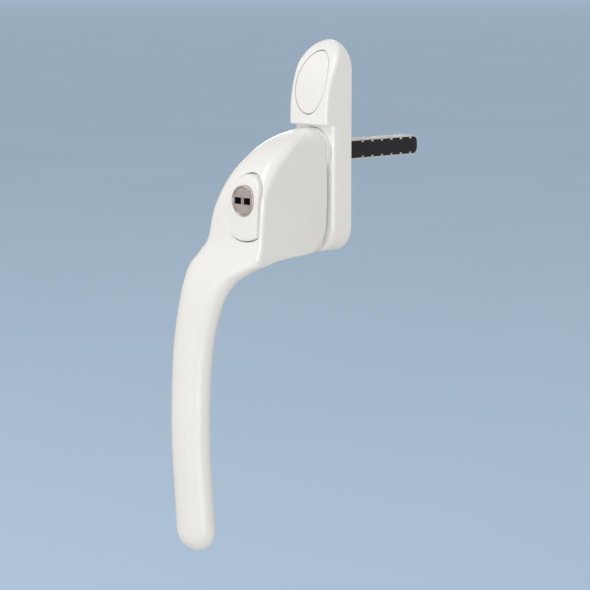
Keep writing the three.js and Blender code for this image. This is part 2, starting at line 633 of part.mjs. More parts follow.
// What is cut away to round the spindle's end, seen from the side.
function spindleEndTool() {
  const centre = SPINDLE_REACH + SPINDLE_END_FLAT - SPINDLE_END_RADIUS;
  const roller = bar(0, 0, SPINDLE_END_RADIUS, -SPINDLE_SIZE, SPINDLE_SIZE, SIDES.widest)
    .rotate([0, 0, 90])
    .translate([0, centre, 0]);
  const ends = box(-SPINDLE_SIZE, SPINDLE_SIZE, centre, centre + SPINDLE_SIZE, -SPINDLE_SIZE, SPINDLE_SIZE);
  return ends.subtract(roller);
}

function makeSpindle() {
  const half = SPINDLE_SIZE / 2;
  const side = half - SPINDLE_CHAMFER;
  const corners = [
    [half, -side], [half, side], [side, half], [-side, half],
    [-half, side], [-half, -side], [-side, -half], [side, -half],
  ];
  const outline = new THREE.Shape(corners.map(([x, z]) => new THREE.Vector2(x, z)));
  let spindle = slab(outline, -SPINDLE_ROOT, SPINDLE_REACH).subtract(spindleEndTool());
  for (let i = 0; i < NOTCH_COUNT; i++) {
    const y = NOTCH_FIRST + i * NOTCH_PITCH;
    for (const sign of [-1, 1]) {
      const floor = sign * (half - NOTCH_DEPTH);
      const outside = sign * (half + OVERCUT);
      const [low, high] = [Math.min(floor, outside), Math.max(floor, outside)];
      const notch = box(-SPINDLE_SIZE, SPINDLE_SIZE, y - NOTCH_WIDTH / 2, y + NOTCH_WIDTH / 2, low, high);
      spindle = spindle.subtract(notch);
    }
  }
  spindle = spindle.subtract(crossPin(SPINDLE_PIN_RADIUS + RUNNING_GAP, SPINDLE_SIZE * 2));
  addPart('spindle', spindle, blackSteel);
}

function makeSpindlePin() {
  addPart('spindle_pin', crossPin(SPINDLE_PIN_RADIUS, 2 * HUB_RADIUS - 2 * GAP), springSteel);
}

function makeDetents() {
  const ballY = -COLLAR_END + DETENT_BALL_REACH - DETENT_BALL_RADIUS;
  [0, 180].forEach((angle, index) => {
    const [x, z] = onCircle(DETENT_TRACK_RADIUS, angle);
    const ball = new THREE.SphereGeometry(DETENT_BALL_RADIUS, 12, 8);
    ball.translate(x, ballY, z);
    addPart(`detent_ball_${index + 1}`, solidFrom(ball), springSteel);
    const front = -DETENT_POCKET_END + RUNNING_GAP;
    const rear = ballY - DETENT_BALL_RADIUS - RUNNING_GAP;
    const radius = DETENT_BALL_RADIUS - DETENT_WIRE - RUNNING_GAP;
    const spring = coil(x, z, radius, DETENT_WIRE, front, rear, DETENT_COIL);
    addPart(`detent_spring_${index + 1}`, spring, springSteel);
  });
}

function makeRetainers() {
  const washerFront = -RING_POCKET_DEPTH + RUNNING_GAP;
  const washerBack = -RING_GROOVE_FRONT - RUNNING_GAP;
  const washer = tube(0, 0, HUB_RADIUS + RUNNING_GAP, WASHER_RADIUS, washerFront, washerBack, SIDES.large);
  addPart('thrust_washer', washer, zincSteel);
  const inner = RING_GROOVE_RADIUS + RUNNING_GAP;
  const opening = box(-RING_OPENING / 2, RING_OPENING / 2, -FAR, FAR, 0, FAR);
  const [ringFront, ringBack] = [-RING_GROOVE_FRONT + RING_PLAY, -RING_GROOVE_BACK - RING_PLAY];
  const ring = tube(0, 0, inner, RING_RADIUS, ringFront, ringBack, SIDES.large);
  addPart('retaining_ring', ring.subtract(opening), springSteel);
}

function makeButtonGuide() {
  const guide = slab(buttonOutline(0), -GUIDE_FRONT, -POCKET_BACK - 2 * RUNNING_GAP);
  const bore = bar(0, BARREL_Z, BARREL_RADIUS + RUNNING_GAP, -FAR, 0, SIDES.widest);
  addPart('button_guide', guide.subtract(bore), nylon);
}

function makePinBush() {
  const inner = LOCK_PIN_RADIUS + RUNNING_GAP;
  const front = -POCKET_BACK + RUNNING_GAP;
  const bush = tube(0, LOCK_PIN_Z, inner, inner + PIN_BUSH_WALL, front, -HOOD_BASE - GAP, SIDES.medium);
  addPart('lock_pin_bush', bush, brass);
}

// ---------- pieces that go in with the button ----------

function makeLockButton() {
  const button = slab(buttonOutline(0), -BUTTON_FRONT, -BUTTON_BACK, BUTTON_EDGE)
    .intersect(buttonFaceLimit());
  const bore = bar(0, BARREL_Z, BARREL_RADIUS + RUNNING_GAP, -FAR, 0, SIDES.widest);
  addPart('lock_button', button.subtract(bore), whitePlastic);
}

// The button's face bends back near its top, as the hood does.
function buttonFaceLimit() {
  const shape = new THREE.Shape();
  const top = BUTTON_TOP + OVERCUT;
  shape.moveTo(0, BUTTON_BOTTOM - OVERCUT);
  shape.lineTo(0, top);
  shape.lineTo(-BUTTON_FRONT + BUTTON_TOP_SETBACK, top);
  shape.quadraticCurveTo(-BUTTON_FRONT, (BUTTON_BEND + top) / 2, -BUTTON_FRONT, BUTTON_BEND);
  shape.lineTo(-BUTTON_FRONT, BUTTON_BOTTOM - OVERCUT);
  return acrossWidth(shape);
}

function makeCylinderBody() {
  let body = bar(0, BARREL_Z, BARREL_RADIUS, -BARREL_FRONT, -BARREL_BACK, SIDES.widest);
  const boreEnd = -BARREL_BACK - OVERCUT;
  body = body.subtract(bar(0, BARREL_Z, PLUG_RADIUS + RUNNING_GAP, -FAR, boreEnd, SIDES.large));
  body = body.subtract(bar(0, BARREL_Z, CAM_SCREW_HEAD_RADIUS + GAP, -FAR, 0, SIDES.small));
  const channelX = WAFER_HALF_WIDTH + GAP;
  for (const side of [-1, 1]) {
    const z = BARREL_Z + side * PLUG_RADIUS;
    const [low, high] = [z - WAFER_CHANNEL_DEPTH, z + WAFER_CHANNEL_DEPTH];
    body = body.subtract(box(-channelX, channelX, ...WAFER_CHANNEL, low, high));
  }
  const screwDepth = -BARREL_BACK - CARRIER_SCREW_DEPTH - RUNNING_GAP;
  for (const x of CARRIER_SCREW_X) {
    body = body.subtract(bar(x, BARREL_Z, CARRIER_SCREW_RADIUS + RUNNING_GAP, screwDepth, 0, SIDES.tiny));
  }
  addPart('cylinder_body', body, satinNickel);
}

function makePinCarrier() {
  const front = -BARREL_BACK + RUNNING_GAP;
  const back = front + CARRIER_THICKNESS;
  let carrier = bar(0, BARREL_Z, BARREL_RADIUS - RUNNING_GAP, front, back, SIDES.large);
  carrier = carrier.subtract(bar(0, LOCK_PIN_Z, LOCK_PIN_RADIUS + RUNNING_GAP, -FAR, 0, SIDES.small));
  for (const x of CARRIER_SCREW_X) {
    carrier = carrier.subtract(bar(x, BARREL_Z, CARRIER_SCREW_RADIUS + RUNNING_GAP, -FAR, 0, SIDES.tiny));
  }
  addPart('pin_carrier', carrier, zincSteel);
  CARRIER_SCREW_X.forEach((x, index) => {
    const face = back + RUNNING_GAP;
    const tip = -BARREL_BACK - CARRIER_SCREW_DEPTH;
    const shank = bar(x, BARREL_Z, CARRIER_SCREW_RADIUS, tip, face + RUNNING_GAP, SIDES.tiny);
    const head = bar(x, BARREL_Z, CARRIER_SCREW_HEAD_RADIUS, face, face + CARRIER_SCREW_HEAD, SIDES.thin);
    addPart(`carrier_screw_${index + 1}`, shank.add(head), zincSteel);
  });
}

function makeLockPin() {
  const front = -BARREL_BACK + 2 * RUNNING_GAP;
  const pin = bar(0, LOCK_PIN_Z, LOCK_PIN_RADIUS, front, -LOCK_PIN_END, SIDES.medium);
  addPart('lock_pin', pin, zincSteel);
}

function makeReturnSpring() {
  const front = -BARREL_BACK + CARRIER_THICKNESS + 2 * RUNNING_GAP;
  const back = -POCKET_BACK - RUNNING_GAP;
  const spring = coil(0, LOCK_PIN_Z, RETURN_SPRING_RADIUS, RETURN_SPRING_WIRE, front, back, RETURN_COIL);
  addPart('return_spring', spring, springSteel);
}

// ---------- pieces that turn with the key ----------

function keySlot(sign, growth) {
  const near = KEY_RIB_WIDTH / 2 - growth;
  const far = KEY_RIB_WIDTH / 2 + KEY_SLOT_WIDTH + growth;
  const xRange = sign > 0 ? [near, far] : [-far, -near];
  const half = KEY_SLOT_HEIGHT / 2 + growth;
  return box(...xRange, -FAR, -KEY_SLOT_BACK, BARREL_Z - half, BARREL_Z + half);
}

function waferY(index) {
  return -WAFER_FIRST + index * WAFER_PITCH;
}

function makeKeyPlug() {
  let plug = bar(0, BARREL_Z, PLUG_RADIUS, -BARREL_FRONT, -PLUG_BACK, SIDES.widest);
  plug = plug.subtract(keySlot(1, 0)).subtract(keySlot(-1, 0));
  for (let i = 0; i < WAFER_COUNT; i++) {
    const halfThickness = WAFER_THICKNESS / 2 + RUNNING_GAP;
    const halfWidth = WAFER_HALF_WIDTH + RUNNING_GAP;
    const y = waferY(i);
    const [low, high] = [BARREL_Z + WAFER_BOTTOM - WAFER_SPRING_ROOM, BARREL_Z + PLUG_RADIUS + OVERCUT];
    plug = plug.subtract(box(-halfWidth, halfWidth, y - halfThickness, y + halfThickness, low, high));
  }
  const screwDepth = -PLUG_BACK - CAM_SCREW_DEPTH - RUNNING_GAP;
  plug = plug.subtract(bar(0, BARREL_Z, CAM_SCREW_BORE, screwDepth, 0, SIDES.tiny));
  addPart('key_plug', plug, satinNickel);
}

function makeWafers() {
  const halfThickness = WAFER_THICKNESS / 2;
  const [low, high] = [BARREL_Z + WAFER_BOTTOM, BARREL_Z + WAFER_TOP];
  const springLow = low - WAFER_SPRING_LENGTH - RUNNING_GAP;
  for (let i = 0; i < WAFER_COUNT; i++) {
    const y = waferY(i);
    const wafer = box(-WAFER_HALF_WIDTH, WAFER_HALF_WIDTH, y - halfThickness, y + halfThickness, low, high)
      .subtract(keySlot(1, WAFER_KEY_ROOM))
      .subtract(keySlot(-1, WAFER_KEY_ROOM));
    addPart(`wafer_${i + 1}`, wafer, brass);
    addPart(`wafer_spring_${i + 1}`, waferSpring(y, springLow, springLow + WAFER_SPRING_LENGTH), springSteel);
  }
}

// A small coil standing under a wafer.
function waferSpring(y, low, high) {
  const spring = coil(0, 0, WAFER_SPRING_RADIUS, WAFER_SPRING_WIRE, low, high, WAFER_COIL);
  return spring.rotate([90, 0, 0]).translate([0, y, 0]);
}

function makeCam() {
  const front = -PLUG_BACK + RUNNING_GAP;
  const back = front + CAM_THICKNESS;
  const lobe = new THREE.Shape();
  lobe.absarc(0, BARREL_Z, CAM_HUB_RADIUS, Math.PI - CAM_FLANK, 2 * Math.PI + CAM_FLANK, false);
  lobe.absarc(0, BARREL_Z + CAM_LOBE_REACH, CAM_LOBE_RADIUS, CAM_FLANK, Math.PI - CAM_FLANK, false);
  lobe.closePath();
  const cam = slab(lobe, front, back).subtract(bar(0, BARREL_Z, CAM_SCREW_BORE, -FAR, 0, SIDES.tiny));
  addPart('cam', cam, brass);
  const face = back + RUNNING_GAP;
  const tip = -PLUG_BACK - CAM_SCREW_DEPTH;
  const shank = bar(0, BARREL_Z, CAM_SCREW_RADIUS, tip, face + RUNNING_GAP, SIDES.tiny);
  const head = bar(0, BARREL_Z, CAM_SCREW_HEAD_RADIUS, face, face + CAM_SCREW_HEAD, SIDES.small);
  addPart('cam_screw', shank.add(head), zincSteel);
}

makeBackplate();
makeCoverCap();
makeHubBush();
makeDetentDisc();
makeStopPin();
makeLeverHandle();
makeSpindle();
makeSpindlePin();
makeDetents();
makeRetainers();
makeButtonGuide();
makePinBush();
makeLockButton();
makeCylinderBody();
makePinCarrier();
makeLockPin();
makeReturnSpring();
makeKeyPlug();
makeWafers();
makeCam();

export default handle;
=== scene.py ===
"""Looks of a cranked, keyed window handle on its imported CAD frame. Lengths are mm unless they say m."""

import json
import math

import bmesh
import bpy
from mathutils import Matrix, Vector


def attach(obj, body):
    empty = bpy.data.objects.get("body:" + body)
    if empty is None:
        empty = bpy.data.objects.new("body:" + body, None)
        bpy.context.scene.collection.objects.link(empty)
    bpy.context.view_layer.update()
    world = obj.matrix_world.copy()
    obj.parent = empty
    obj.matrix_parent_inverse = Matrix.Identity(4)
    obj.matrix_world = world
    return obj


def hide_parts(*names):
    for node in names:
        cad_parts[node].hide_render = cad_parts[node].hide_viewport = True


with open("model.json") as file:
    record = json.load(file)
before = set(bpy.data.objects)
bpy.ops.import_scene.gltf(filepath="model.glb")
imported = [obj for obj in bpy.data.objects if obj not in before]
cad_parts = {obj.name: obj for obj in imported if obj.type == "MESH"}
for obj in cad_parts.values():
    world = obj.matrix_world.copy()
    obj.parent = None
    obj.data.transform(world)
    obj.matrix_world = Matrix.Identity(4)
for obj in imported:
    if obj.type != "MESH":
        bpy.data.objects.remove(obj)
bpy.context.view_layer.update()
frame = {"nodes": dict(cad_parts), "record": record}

MM = 0.001
TURN = 2 * math.pi

# ---------- driving dimensions, in the CAD part's frame ----------

PLATE_HALF_WIDTH = 10.495
PLATE_BOTTOM = -35.0
PLATE_TOP = 38.8
PLATE_FRONT = -8.1
PLATE_CORNER = 9.0
PLATE_EDGE = 1.7              # rounding of the lower plate's front edge
BLOCK_EDGE = 1.3              # rounding of the raised block's front edge
PLATE_DRAFT = 0.126           # how far each side comes in per millimetre towards the room
STEP_Z = 9.6                  # lower edge of the raised block
STEP_ROUND = 0.6
STEP_FILLET = 0.35
BLOCK_FRONT = -11.2
BLOCK_CURVE_START = 13.0
BLOCK_CURVE_RADIUS = 38.0
THINNEST_EDGE = 0.45
FIXING_OFFSET = 21.5
FIXING_RADIUS = 2.65
FIXING_HEAD_RADIUS = 4.9
FIXING_HEAD_RECESS = 0.1      # how far the countersink is sunk below its face
LOCK_PIN_Z = -12.6
LOCK_PIN_HOLE_RADIUS = 1.9
LOCK_PIN_HOLE_BACK = -4.5
LOCK_PIN_BUSH_RADIUS = 2.6

CAP_CENTRE = 24.2
CAP_HALF_WIDTH = 7.1
CAP_HALF_HEIGHT = 10.8
CAP_THICKNESS = 1.5
CAP_GROOVE = 0.36
CAP_ROOM = 0.3                # free room behind the cover and round its legs
CAP_EDGE = 0.25
CAP_LEG_HEIGHTS = (15.6, 32.0)
CAP_LEG_SIZE = (4.0, 1.2, 2.2)

HOOD_RADIUS = 8.6
HOOD_BASE = 10.0
HOOD_REACH = 31.3
HOOD_FULL_DEPTH_Z = -18.0
HOOD_BULGE = 2.0
TIP_START = -133.0
TIP_END = -140.39
HUB_RADIUS = 6.0
HUB_CORE = 0.5                # its turned shape has a thin hole, which the spindle's socket clears away
HUB_BORE = 7.24               # the plate's hole round the hub and its bush
HUB_BACK = -0.7
HUB_CHAMFER_OUT = 0.25
HUB_CHAMFER_LONG = 0.3
RING_GROOVE_RADIUS = 5.4
RING_GROOVE_FRONT = -1.9
RING_GROOVE_BACK = -1.1
COLLAR_RADIUS = 8.55
COLLAR_NECK_RADIUS = 8.1
COLLAR_FRONT = -9.82
COLLAR_BACK = -6.5
COLLAR_GAP = 0.13
COLLAR_EDGE = 0.12
DISC_BORE = 9.02              # the plate's recess round the detent disc
DISC_BACK = -5.0
RING_POCKET_RADIUS = 8.7
RING_POCKET_FLOOR = -2.7
# Inner and outer radius, front and back, and corner cut of the turned rings in the plate's back.
HUB_BUSH_RING = (6.12, 7.12, -4.88, -2.82, 0.15)
THRUST_WASHER_RING = (6.12, 8.0, -2.58, -2.02, 0.1)
RETAINING_RING = (5.52, 7.4, -1.85, -1.15, 0.12)
RETAINING_GAP_HALF_WIDTH = 2.5
POCKET_BACK = -18.5
POCKET_GAP = 0.36
POCKET_RIM = 0.22             # rounding of the pocket's mouth

BUTTON_RADIUS = 7.15          # its round top
BUTTON_TOP = -5.75
BUTTON_FOOT_HALF_WIDTH = 6.5
BUTTON_BOTTOM = -28.6
BUTTON_FOOT_RADIUS = 14.0     # its bottom edge is a shallow arc
BUTTON_CORNER = 1.0
BUTTON_FRONT = -42.2
BUTTON_BACK = -30.0
BUTTON_BEND = -16.0           # above this height the button's face bends back
BUTTON_TOP_SETBACK = 3.15
BUTTON_EDGE = 0.7
BARREL_Z = -14.8
BARREL_RADIUS = 5.25
BARREL_FRONT = -42.5
BARREL_BACK = -24.0
BARREL_GAP = 0.06
BARREL_CHAMFER = 0.3
BARREL_BACK_HOLE = 2.0
BORE_EDGE = 0.15              # rounding of the button's bore at the face
BORE_EDGE_MIDDLE = 0.04
CYLINDER_RIM = 0.14           # rounding of the barrel's front edges
PLUG_RADIUS = 4.6
PLUG_FRONT = -42.34
PLUG_BACK = -27.4
PLUG_BACK_HOLE = 1.0
PLUG_GAP = 0.07
PLUG_EDGE = 0.18
KEY_SLOT_WIDTH = 3.15
KEY_SLOT_HEIGHT = 2.3
KEY_RIB_WIDTH = 1.35
KEY_RIB_LINES = (-0.22, 0.26)
KEY_RIB_LINE_WIDTH = 0.13
KEY_RIB_LINE_DEPTH = 0.3
KEY_SLOT_BACK = -29.0

SPINDLE_HALF = 3.5
SPINDLE_ROOT = -22.0
SPINDLE_TIP = 42.2
SPINDLE_SOCKET_GAP = 0.12
SPINDLE_DOME = 2.2
SPINDLE_DOME_NARROWING = 0.1  # the dome narrows in X by this share of what it does in Z
SPINDLE_CHAMFER = 0.45
NOTCH_FIRST = 13.1
NOTCH_PITCH = 5.0
NOTCH_COUNT = 6
NOTCH_WIDTH = 1.1
NOTCH_DEPTH = 1.1
INSIDE_ALLOWANCE = 0.05       # a face this far inside the bar's sides belongs to a notch
SLANTED = 0.3                 # a normal with more of X and Z than this belongs to a chamfer


# ---------- mesh helpers ----------

def new_object(name, bm, smooth_angle=35.0):
    """An object from a bmesh in millimetres, smooth except where faces meet at more than the angle."""
    bmesh.ops.remove_doubles(bm, verts=bm.verts, dist=1e-4)
    bmesh.ops.dissolve_degenerate(bm, edges=bm.edges, dist=1e-5)
    bmesh.ops.recalc_face_normals(bm, faces=bm.faces)
    bmesh.ops.scale(bm, vec=(MM, MM, MM), verts=bm.verts)
    mesh = bpy.data.meshes.new(name)
    bm.to_mesh(mesh)
    bm.free()
    obj = bpy.data.objects.new(name, mesh)
    bpy.context.scene.collection.objects.link(obj)
    mark_smooth(obj, smooth_angle)
    return obj


def mark_smooth(obj, smooth_angle=35.0):
    bm = bmesh.new()
    bm.from_mesh(obj.data)
    limit = math.radians(smooth_angle)
    for face in bm.faces:
        face.smooth = True
    for edge in bm.edges:
        edge.smooth = edge.is_manifold and edge.calc_face_angle(0) < limit
    bm.to_mesh(obj.data)
    bm.free()


def grid(bm, rows, close_rows=True):
    """Quads between successive rows of points; each row is a closed loop unless told otherwise."""
    verts = [[bm.verts.new(point) for point in row] for row in rows]
    count = len(rows[0])
    columns = count if close_rows else count - 1
    for lower, upper in zip(verts, verts[1:]):
        for i in range(columns):
            j = (i + 1) % count
            bm.faces.new((lower[i], lower[j], upper[j], upper[i]))
    return verts


def fan(bm, ring, centre):
    middle = bm.verts.new(centre)
    for i, vert in enumerate(ring):
        bm.faces.new((vert, ring[(i + 1) % len(ring)], middle))


def lathe(name, profile, x=0.0, z=0.0, sides=96):
    """A closed profile of (radius, y) turned about an axis along Y."""
    bm = bmesh.new()
    rows = []
    for i in range(sides + 1):
        angle = TURN * i / sides
        rows.append([(x + r * math.cos(angle), y, z + r * math.sin(angle)) for r, y in profile])
    grid(bm, rows)
    return new_object(name, bm)


def circle_points(radius, y, x, z, sides):
    """A loop of points round an axis along Y."""
    angles = [TURN * i / sides for i in range(sides)]
    return [(x + radius * math.cos(a), y, z + radius * math.sin(a)) for a in angles]


def ring_profile(inner, outer, y0, y1, edge):
    """A rectangle in (radius, y) with cut corners."""
    return [
        (inner, y0 + edge), (inner + edge, y0), (outer - edge, y0), (outer, y0 + edge),
        (outer, y1 - edge), (outer - edge, y1), (inner + edge, y1), (inner, y1 - edge),
    ]


def box_object(name, low, high):
    bm = bmesh.new()
    bmesh.ops.create_cube(bm, size=1.0)
    size = [b - a for a, b in zip(low, high)]
    centre = [(a + b) / 2 for a, b in zip(low, high)]
    bmesh.ops.scale(bm, vec=size, verts=bm.verts)
    bmesh.ops.translate(bm, vec=centre, verts=bm.verts)
    return new_object(name, bm)


def carve(obj, tools, operation="DIFFERENCE", smooth_angle=35.0):
    """Cuts the tools out of obj, or joins them to it, and removes them."""
    for tool in tools:
        modifier = obj.modifiers.new("carve", "BOOLEAN")
        modifier.operation = operation
        modifier.solver = "EXACT"
        modifier.object = tool
        apply_modifiers(obj)
        mesh = tool.data
        bpy.data.objects.remove(tool)
        bpy.data.meshes.remove(mesh)
    mark_smooth(obj, smooth_angle)


def apply_modifiers(obj):
    graph = bpy.context.evaluated_depsgraph_get()
    mesh = bpy.data.meshes.new_from_object(obj.evaluated_get(graph))
    old = obj.data
    obj.modifiers.clear()
    obj.data = mesh
    bpy.data.meshes.remove(old)


def spread(low, high, count):
    return [low + (high - low) * i / (count - 1) for i in range(count)]


# ---------- material helpers ----------

class Graph:
    """A node tree with short calls for the nodes that these materials use."""

    def __init__(self, name):
        self.material = bpy.data.materials.new(name)
        self.material.use_nodes = True
        self.tree = self.material.node_tree
        self.shader = self.tree.nodes["Principled BSDF"]
        self.position = self.node("ShaderNodeTexCoord").outputs["Object"]

    def node(self, kind, **settings):
        made = self.tree.nodes.new(kind)
        for key, value in settings.items():
            setattr(made, key, value)
        return made

    def link(self, source, target):
        self.tree.links.new(source, target)

    def noise(self, per_metre, detail=2.0, where=None, stretch=(1, 1, 1)):
        mapping = self.node("ShaderNodeMapping")
        mapping.inputs["Scale"].default_value = stretch
        self.link(where or self.position, mapping.inputs["Vector"])
        made = self.node("ShaderNodeTexNoise")
        made.inputs["Scale"].default_value = per_metre
        made.inputs["Detail"].default_value = detail
        self.link(mapping.outputs["Vector"], made.inputs["Vector"])
        return made.outputs["Fac"]

    def between(self, factor, low, high, out_low, out_high):
        made = self.node("ShaderNodeMapRange")
        values = zip(("From Min", "From Max", "To Min", "To Max"), (low, high, out_low, out_high))
        for key, value in values:
            made.inputs[key].default_value = value
        self.link(factor, made.inputs["Value"])
        return made.outputs["Result"]

    def colours(self, factor, first, second):
        ramp = self.node("ShaderNodeValToRGB")
        ramp.color_ramp.elements[0].position = 0.3
        ramp.color_ramp.elements[1].position = 0.7
        ramp.color_ramp.elements[0].color = (*first, 1)
        ramp.color_ramp.elements[1].color = (*second, 1)
        self.link(factor, ramp.inputs["Fac"])
        self.link(ramp.outputs["Color"], self.shader.inputs["Base Color"])

    def roughness(self, factor, low, high):
        self.link(self.between(factor, 0.3, 0.7, low, high), self.shader.inputs["Roughness"])

    def bump(self, height, depth, strength=1.0, under=None):
        """Raises the surface by up to `depth` millimetres where height is 1."""
        made = self.node("ShaderNodeBump")
        made.inputs["Strength"].default_value = strength
        made.inputs["Distance"].default_value = depth * MM
        self.link(height, made.inputs["Height"])
        if under:
            self.link(under, made.inputs["Normal"])
        self.link(made.outputs["Normal"], self.shader.inputs["Normal"])
        return made.outputs["Normal"]

    def set(self, **values):
        for key, value in values.items():
            self.shader.inputs[key.replace("_", " ")].default_value = value

    def round_about(self, z):
        """Distance from a line along Y at height z."""
        parts = self.node("ShaderNodeSeparateXYZ")
        self.link(self.position, parts.inputs[0])
        shifted = self.node("ShaderNodeMath", operation="SUBTRACT")
        self.link(parts.outputs["Z"], shifted.inputs[0])
        shifted.inputs[1].default_value = z * MM
        flat = self.node("ShaderNodeCombineXYZ")
        self.link(parts.outputs["X"], flat.inputs["X"])
        self.link(shifted.outputs[0], flat.inputs["Z"])
        length = self.node("ShaderNodeVectorMath", operation="LENGTH")
        self.link(flat.outputs[0], length.inputs[0])
        return length.outputs["Value"]


def white_coat():
    """Gloss powder coat: fine orange peel over a slow flow, with faint warm and cool drift."""
    g = Graph("white_coat")
    g.colours(g.noise(45, 3), (0.880, 0.874, 0.857), (0.905, 0.900, 0.886))
    g.roughness(g.noise(160, 4), 0.26, 0.36)
    flow = g.bump(g.noise(190, 1), 0.012, 0.4)
    g.bump(g.noise(1100, 2), 0.004, 0.4, under=flow)
    g.set(Coat_Weight=0.4, Coat_Roughness=0.20, Specular_IOR_Level=0.5)
    return g.material


def white_plastic():
    """Moulded cover plastic, a touch warmer and finer than the coat."""
    g = Graph("white_plastic")
    g.colours(g.noise(60, 2), (0.870, 0.862, 0.840), (0.890, 0.884, 0.866))
    g.roughness(g.noise(420, 3), 0.30, 0.40)
    g.bump(g.noise(2600, 2), 0.003, 0.5)
    g.set(Specular_IOR_Level=0.45)
    return g.material


def satin_nickel():
    """Nickel plate with turned rings round the lock's axis."""
    g = Graph("satin_nickel")
    radius = g.round_about(BARREL_Z)
    rings_at = g.node("ShaderNodeCombineXYZ")
    g.link(radius, rings_at.inputs["X"])
    rings = g.noise(9000, 2, where=rings_at.outputs[0])
    g.colours(g.noise(500, 3), (0.63, 0.57, 0.53), (0.75, 0.69, 0.645))
    g.roughness(rings, 0.26, 0.40)
    g.bump(rings, 0.004, 0.6)
    g.set(Metallic=1.0)
    return g.material


def black_oxide():
    """Blackened bar steel with a fine drawn grain along its length and small bright specks."""
    g = Graph("black_oxide")
    grain = g.noise(2200, 3, stretch=(1, 0.12, 1))
    specks = g.between(g.noise(5200, 1), 0.66, 0.74, 0.0, 1.0)
    g.colours(specks, (0.008, 0.008, 0.012), (0.05, 0.05, 0.06))
    g.roughness(grain, 0.30, 0.44)
    g.bump(grain, 0.006, 0.5)
    g.set(Specular_IOR_Level=0.35)
    return g.material


def cut_metal_and_edge_highlight():
    """Pale, matt metal: bare cut steel on the notch faces, and a painted highlight along the bar's corner
    chamfers.
    """
    g = Graph("cut_metal_and_edge_highlight")
    scratches = g.noise(3000, 2, stretch=(0.15, 1, 1))
    g.colours(g.noise(400, 3), (0.62, 0.62, 0.60), (0.76, 0.76, 0.74))
    g.roughness(scratches, 0.45, 0.6)
    g.bump(scratches, 0.004, 0.5)
    g.set(Metallic=0.25)
    return g.material


def bare_steel(name, low, high, rough):
    """Milled or ground steel: short scratches over slow clouding."""
    g = Graph(name)
    scratches = g.noise(3000, 2, stretch=(0.15, 1, 1))
    g.colours(g.noise(400, 3), low, high)
    g.roughness(scratches, *rough)
    g.bump(scratches, 0.004, 0.5)
    g.set(Metallic=1.0)
    return g.material


def moulded_nylon():
    g = Graph("nylon")
    g.colours(g.noise(150, 3), (0.70, 0.67, 0.58), (0.78, 0.75, 0.66))
    g.roughness(g.noise(900, 2), 0.45, 0.60)
    g.bump(g.noise(1800, 2), 0.006, 0.5)
    return g.material


def floor_material():
    g = Graph("studio_floor")
    g.colours(g.noise(3, 2), (0.520, 0.680, 0.860), (0.535, 0.695, 0.875))
    g.roughness(g.noise(20, 2), 0.85, 0.95)
    g.set(Specular_IOR_Level=0.0)
    return g.material


def give(obj, *materials):
    obj.data.materials.clear()
    for material in materials:
        obj.data.materials.append(material)


def place(obj, body, slot, *nodes):
    """Rides a finished piece on its body, in place of CAD nodes."""
    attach(obj, body)
    if nodes:
        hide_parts(*nodes)


# ---------- backplate ----------

def cover_face(z):
    """Y of the plate's curved block at height z."""
    rise = max(0.0, z - BLOCK_CURVE_START)
    return BLOCK_FRONT + BLOCK_CURVE_RADIUS - math.sqrt(BLOCK_CURVE_RADIUS ** 2 - rise ** 2)


def side_stations():
    """(z, y) up the straight sides of the plate's front, with the step's corners rounded."""
    stations = [(z, PLATE_FRONT) for z in spread(PLATE_BOTTOM + PLATE_CORNER, STEP_Z - STEP_FILLET, 24)]
    for a in spread(10, 90, 5):
        angle = math.radians(a)
        z = STEP_Z - STEP_FILLET * (1 - math.sin(angle))
        stations.append((z, PLATE_FRONT - STEP_FILLET * (1 - math.cos(angle))))
    for a in spread(0, 90, 7):
        angle = math.radians(a)
        z = STEP_Z + STEP_ROUND * (1 - math.cos(angle))
        stations.append((z, BLOCK_FRONT + STEP_ROUND * (1 - math.sin(angle))))
    shoulder = PLATE_TOP - PLATE_HALF_WIDTH
    stations += [(z, cover_face(z)) for z in spread(STEP_Z + STEP_ROUND + 0.6, shoulder - 0.3, 22)]
    return stations


def plate_rows():
    """Closed loops round the plate from its bottom edge to its top: right wall, front, left wall, back."""
    insets = [1 - math.cos(math.radians(a)) for a in spread(0, 90, 9)]
    rows = []

    def add_row(right_point):
        """Adds a loop; right_point(share of the rounding) gives x, z, the front's y, and the radius."""
        side = []
        for share in insets:
            (x, z, y), edge = right_point(share)
            drop = edge * (1 - math.sqrt(max(0.0, 1 - (1 - share) ** 2)))
            room = max(0.0, min(1.0, (-y - THINNEST_EDGE) / edge))
            side.append((x, y + drop * room, z))
        outline_x, _, outline_z = side[0]
        right = [(outline_x, 0.0, outline_z)] + side
        left = [(-x, y, z) for x, y, z in reversed(right)]
        rows.append(right + left)

    for a in spread(-90, 0, 10):
        angle = math.radians(a)

        def corner(share, angle=angle):
            radius = PLATE_CORNER - PLATE_EDGE * share
            x = PLATE_HALF_WIDTH - PLATE_CORNER + radius * math.cos(angle)
            z = PLATE_BOTTOM + PLATE_CORNER + radius * math.sin(angle)
            return (x, z, PLATE_FRONT), PLATE_EDGE
        add_row(corner)
    for z, y in side_stations():
        edge = PLATE_EDGE if z < STEP_Z else BLOCK_EDGE

        def side_point(share, z=z, y=y, edge=edge):
            return (PLATE_HALF_WIDTH - edge * share, z, y), edge
        add_row(side_point)
    shoulder = PLATE_TOP - PLATE_HALF_WIDTH
    for a in spread(0, 90, 28):
        angle = math.radians(a)

        def arch(share, angle=angle):
            radius = PLATE_HALF_WIDTH - BLOCK_EDGE * share
            z = shoulder + radius * math.sin(angle)
            return (radius * math.cos(angle), z, cover_face(z)), BLOCK_EDGE
        add_row(arch)
    return rows


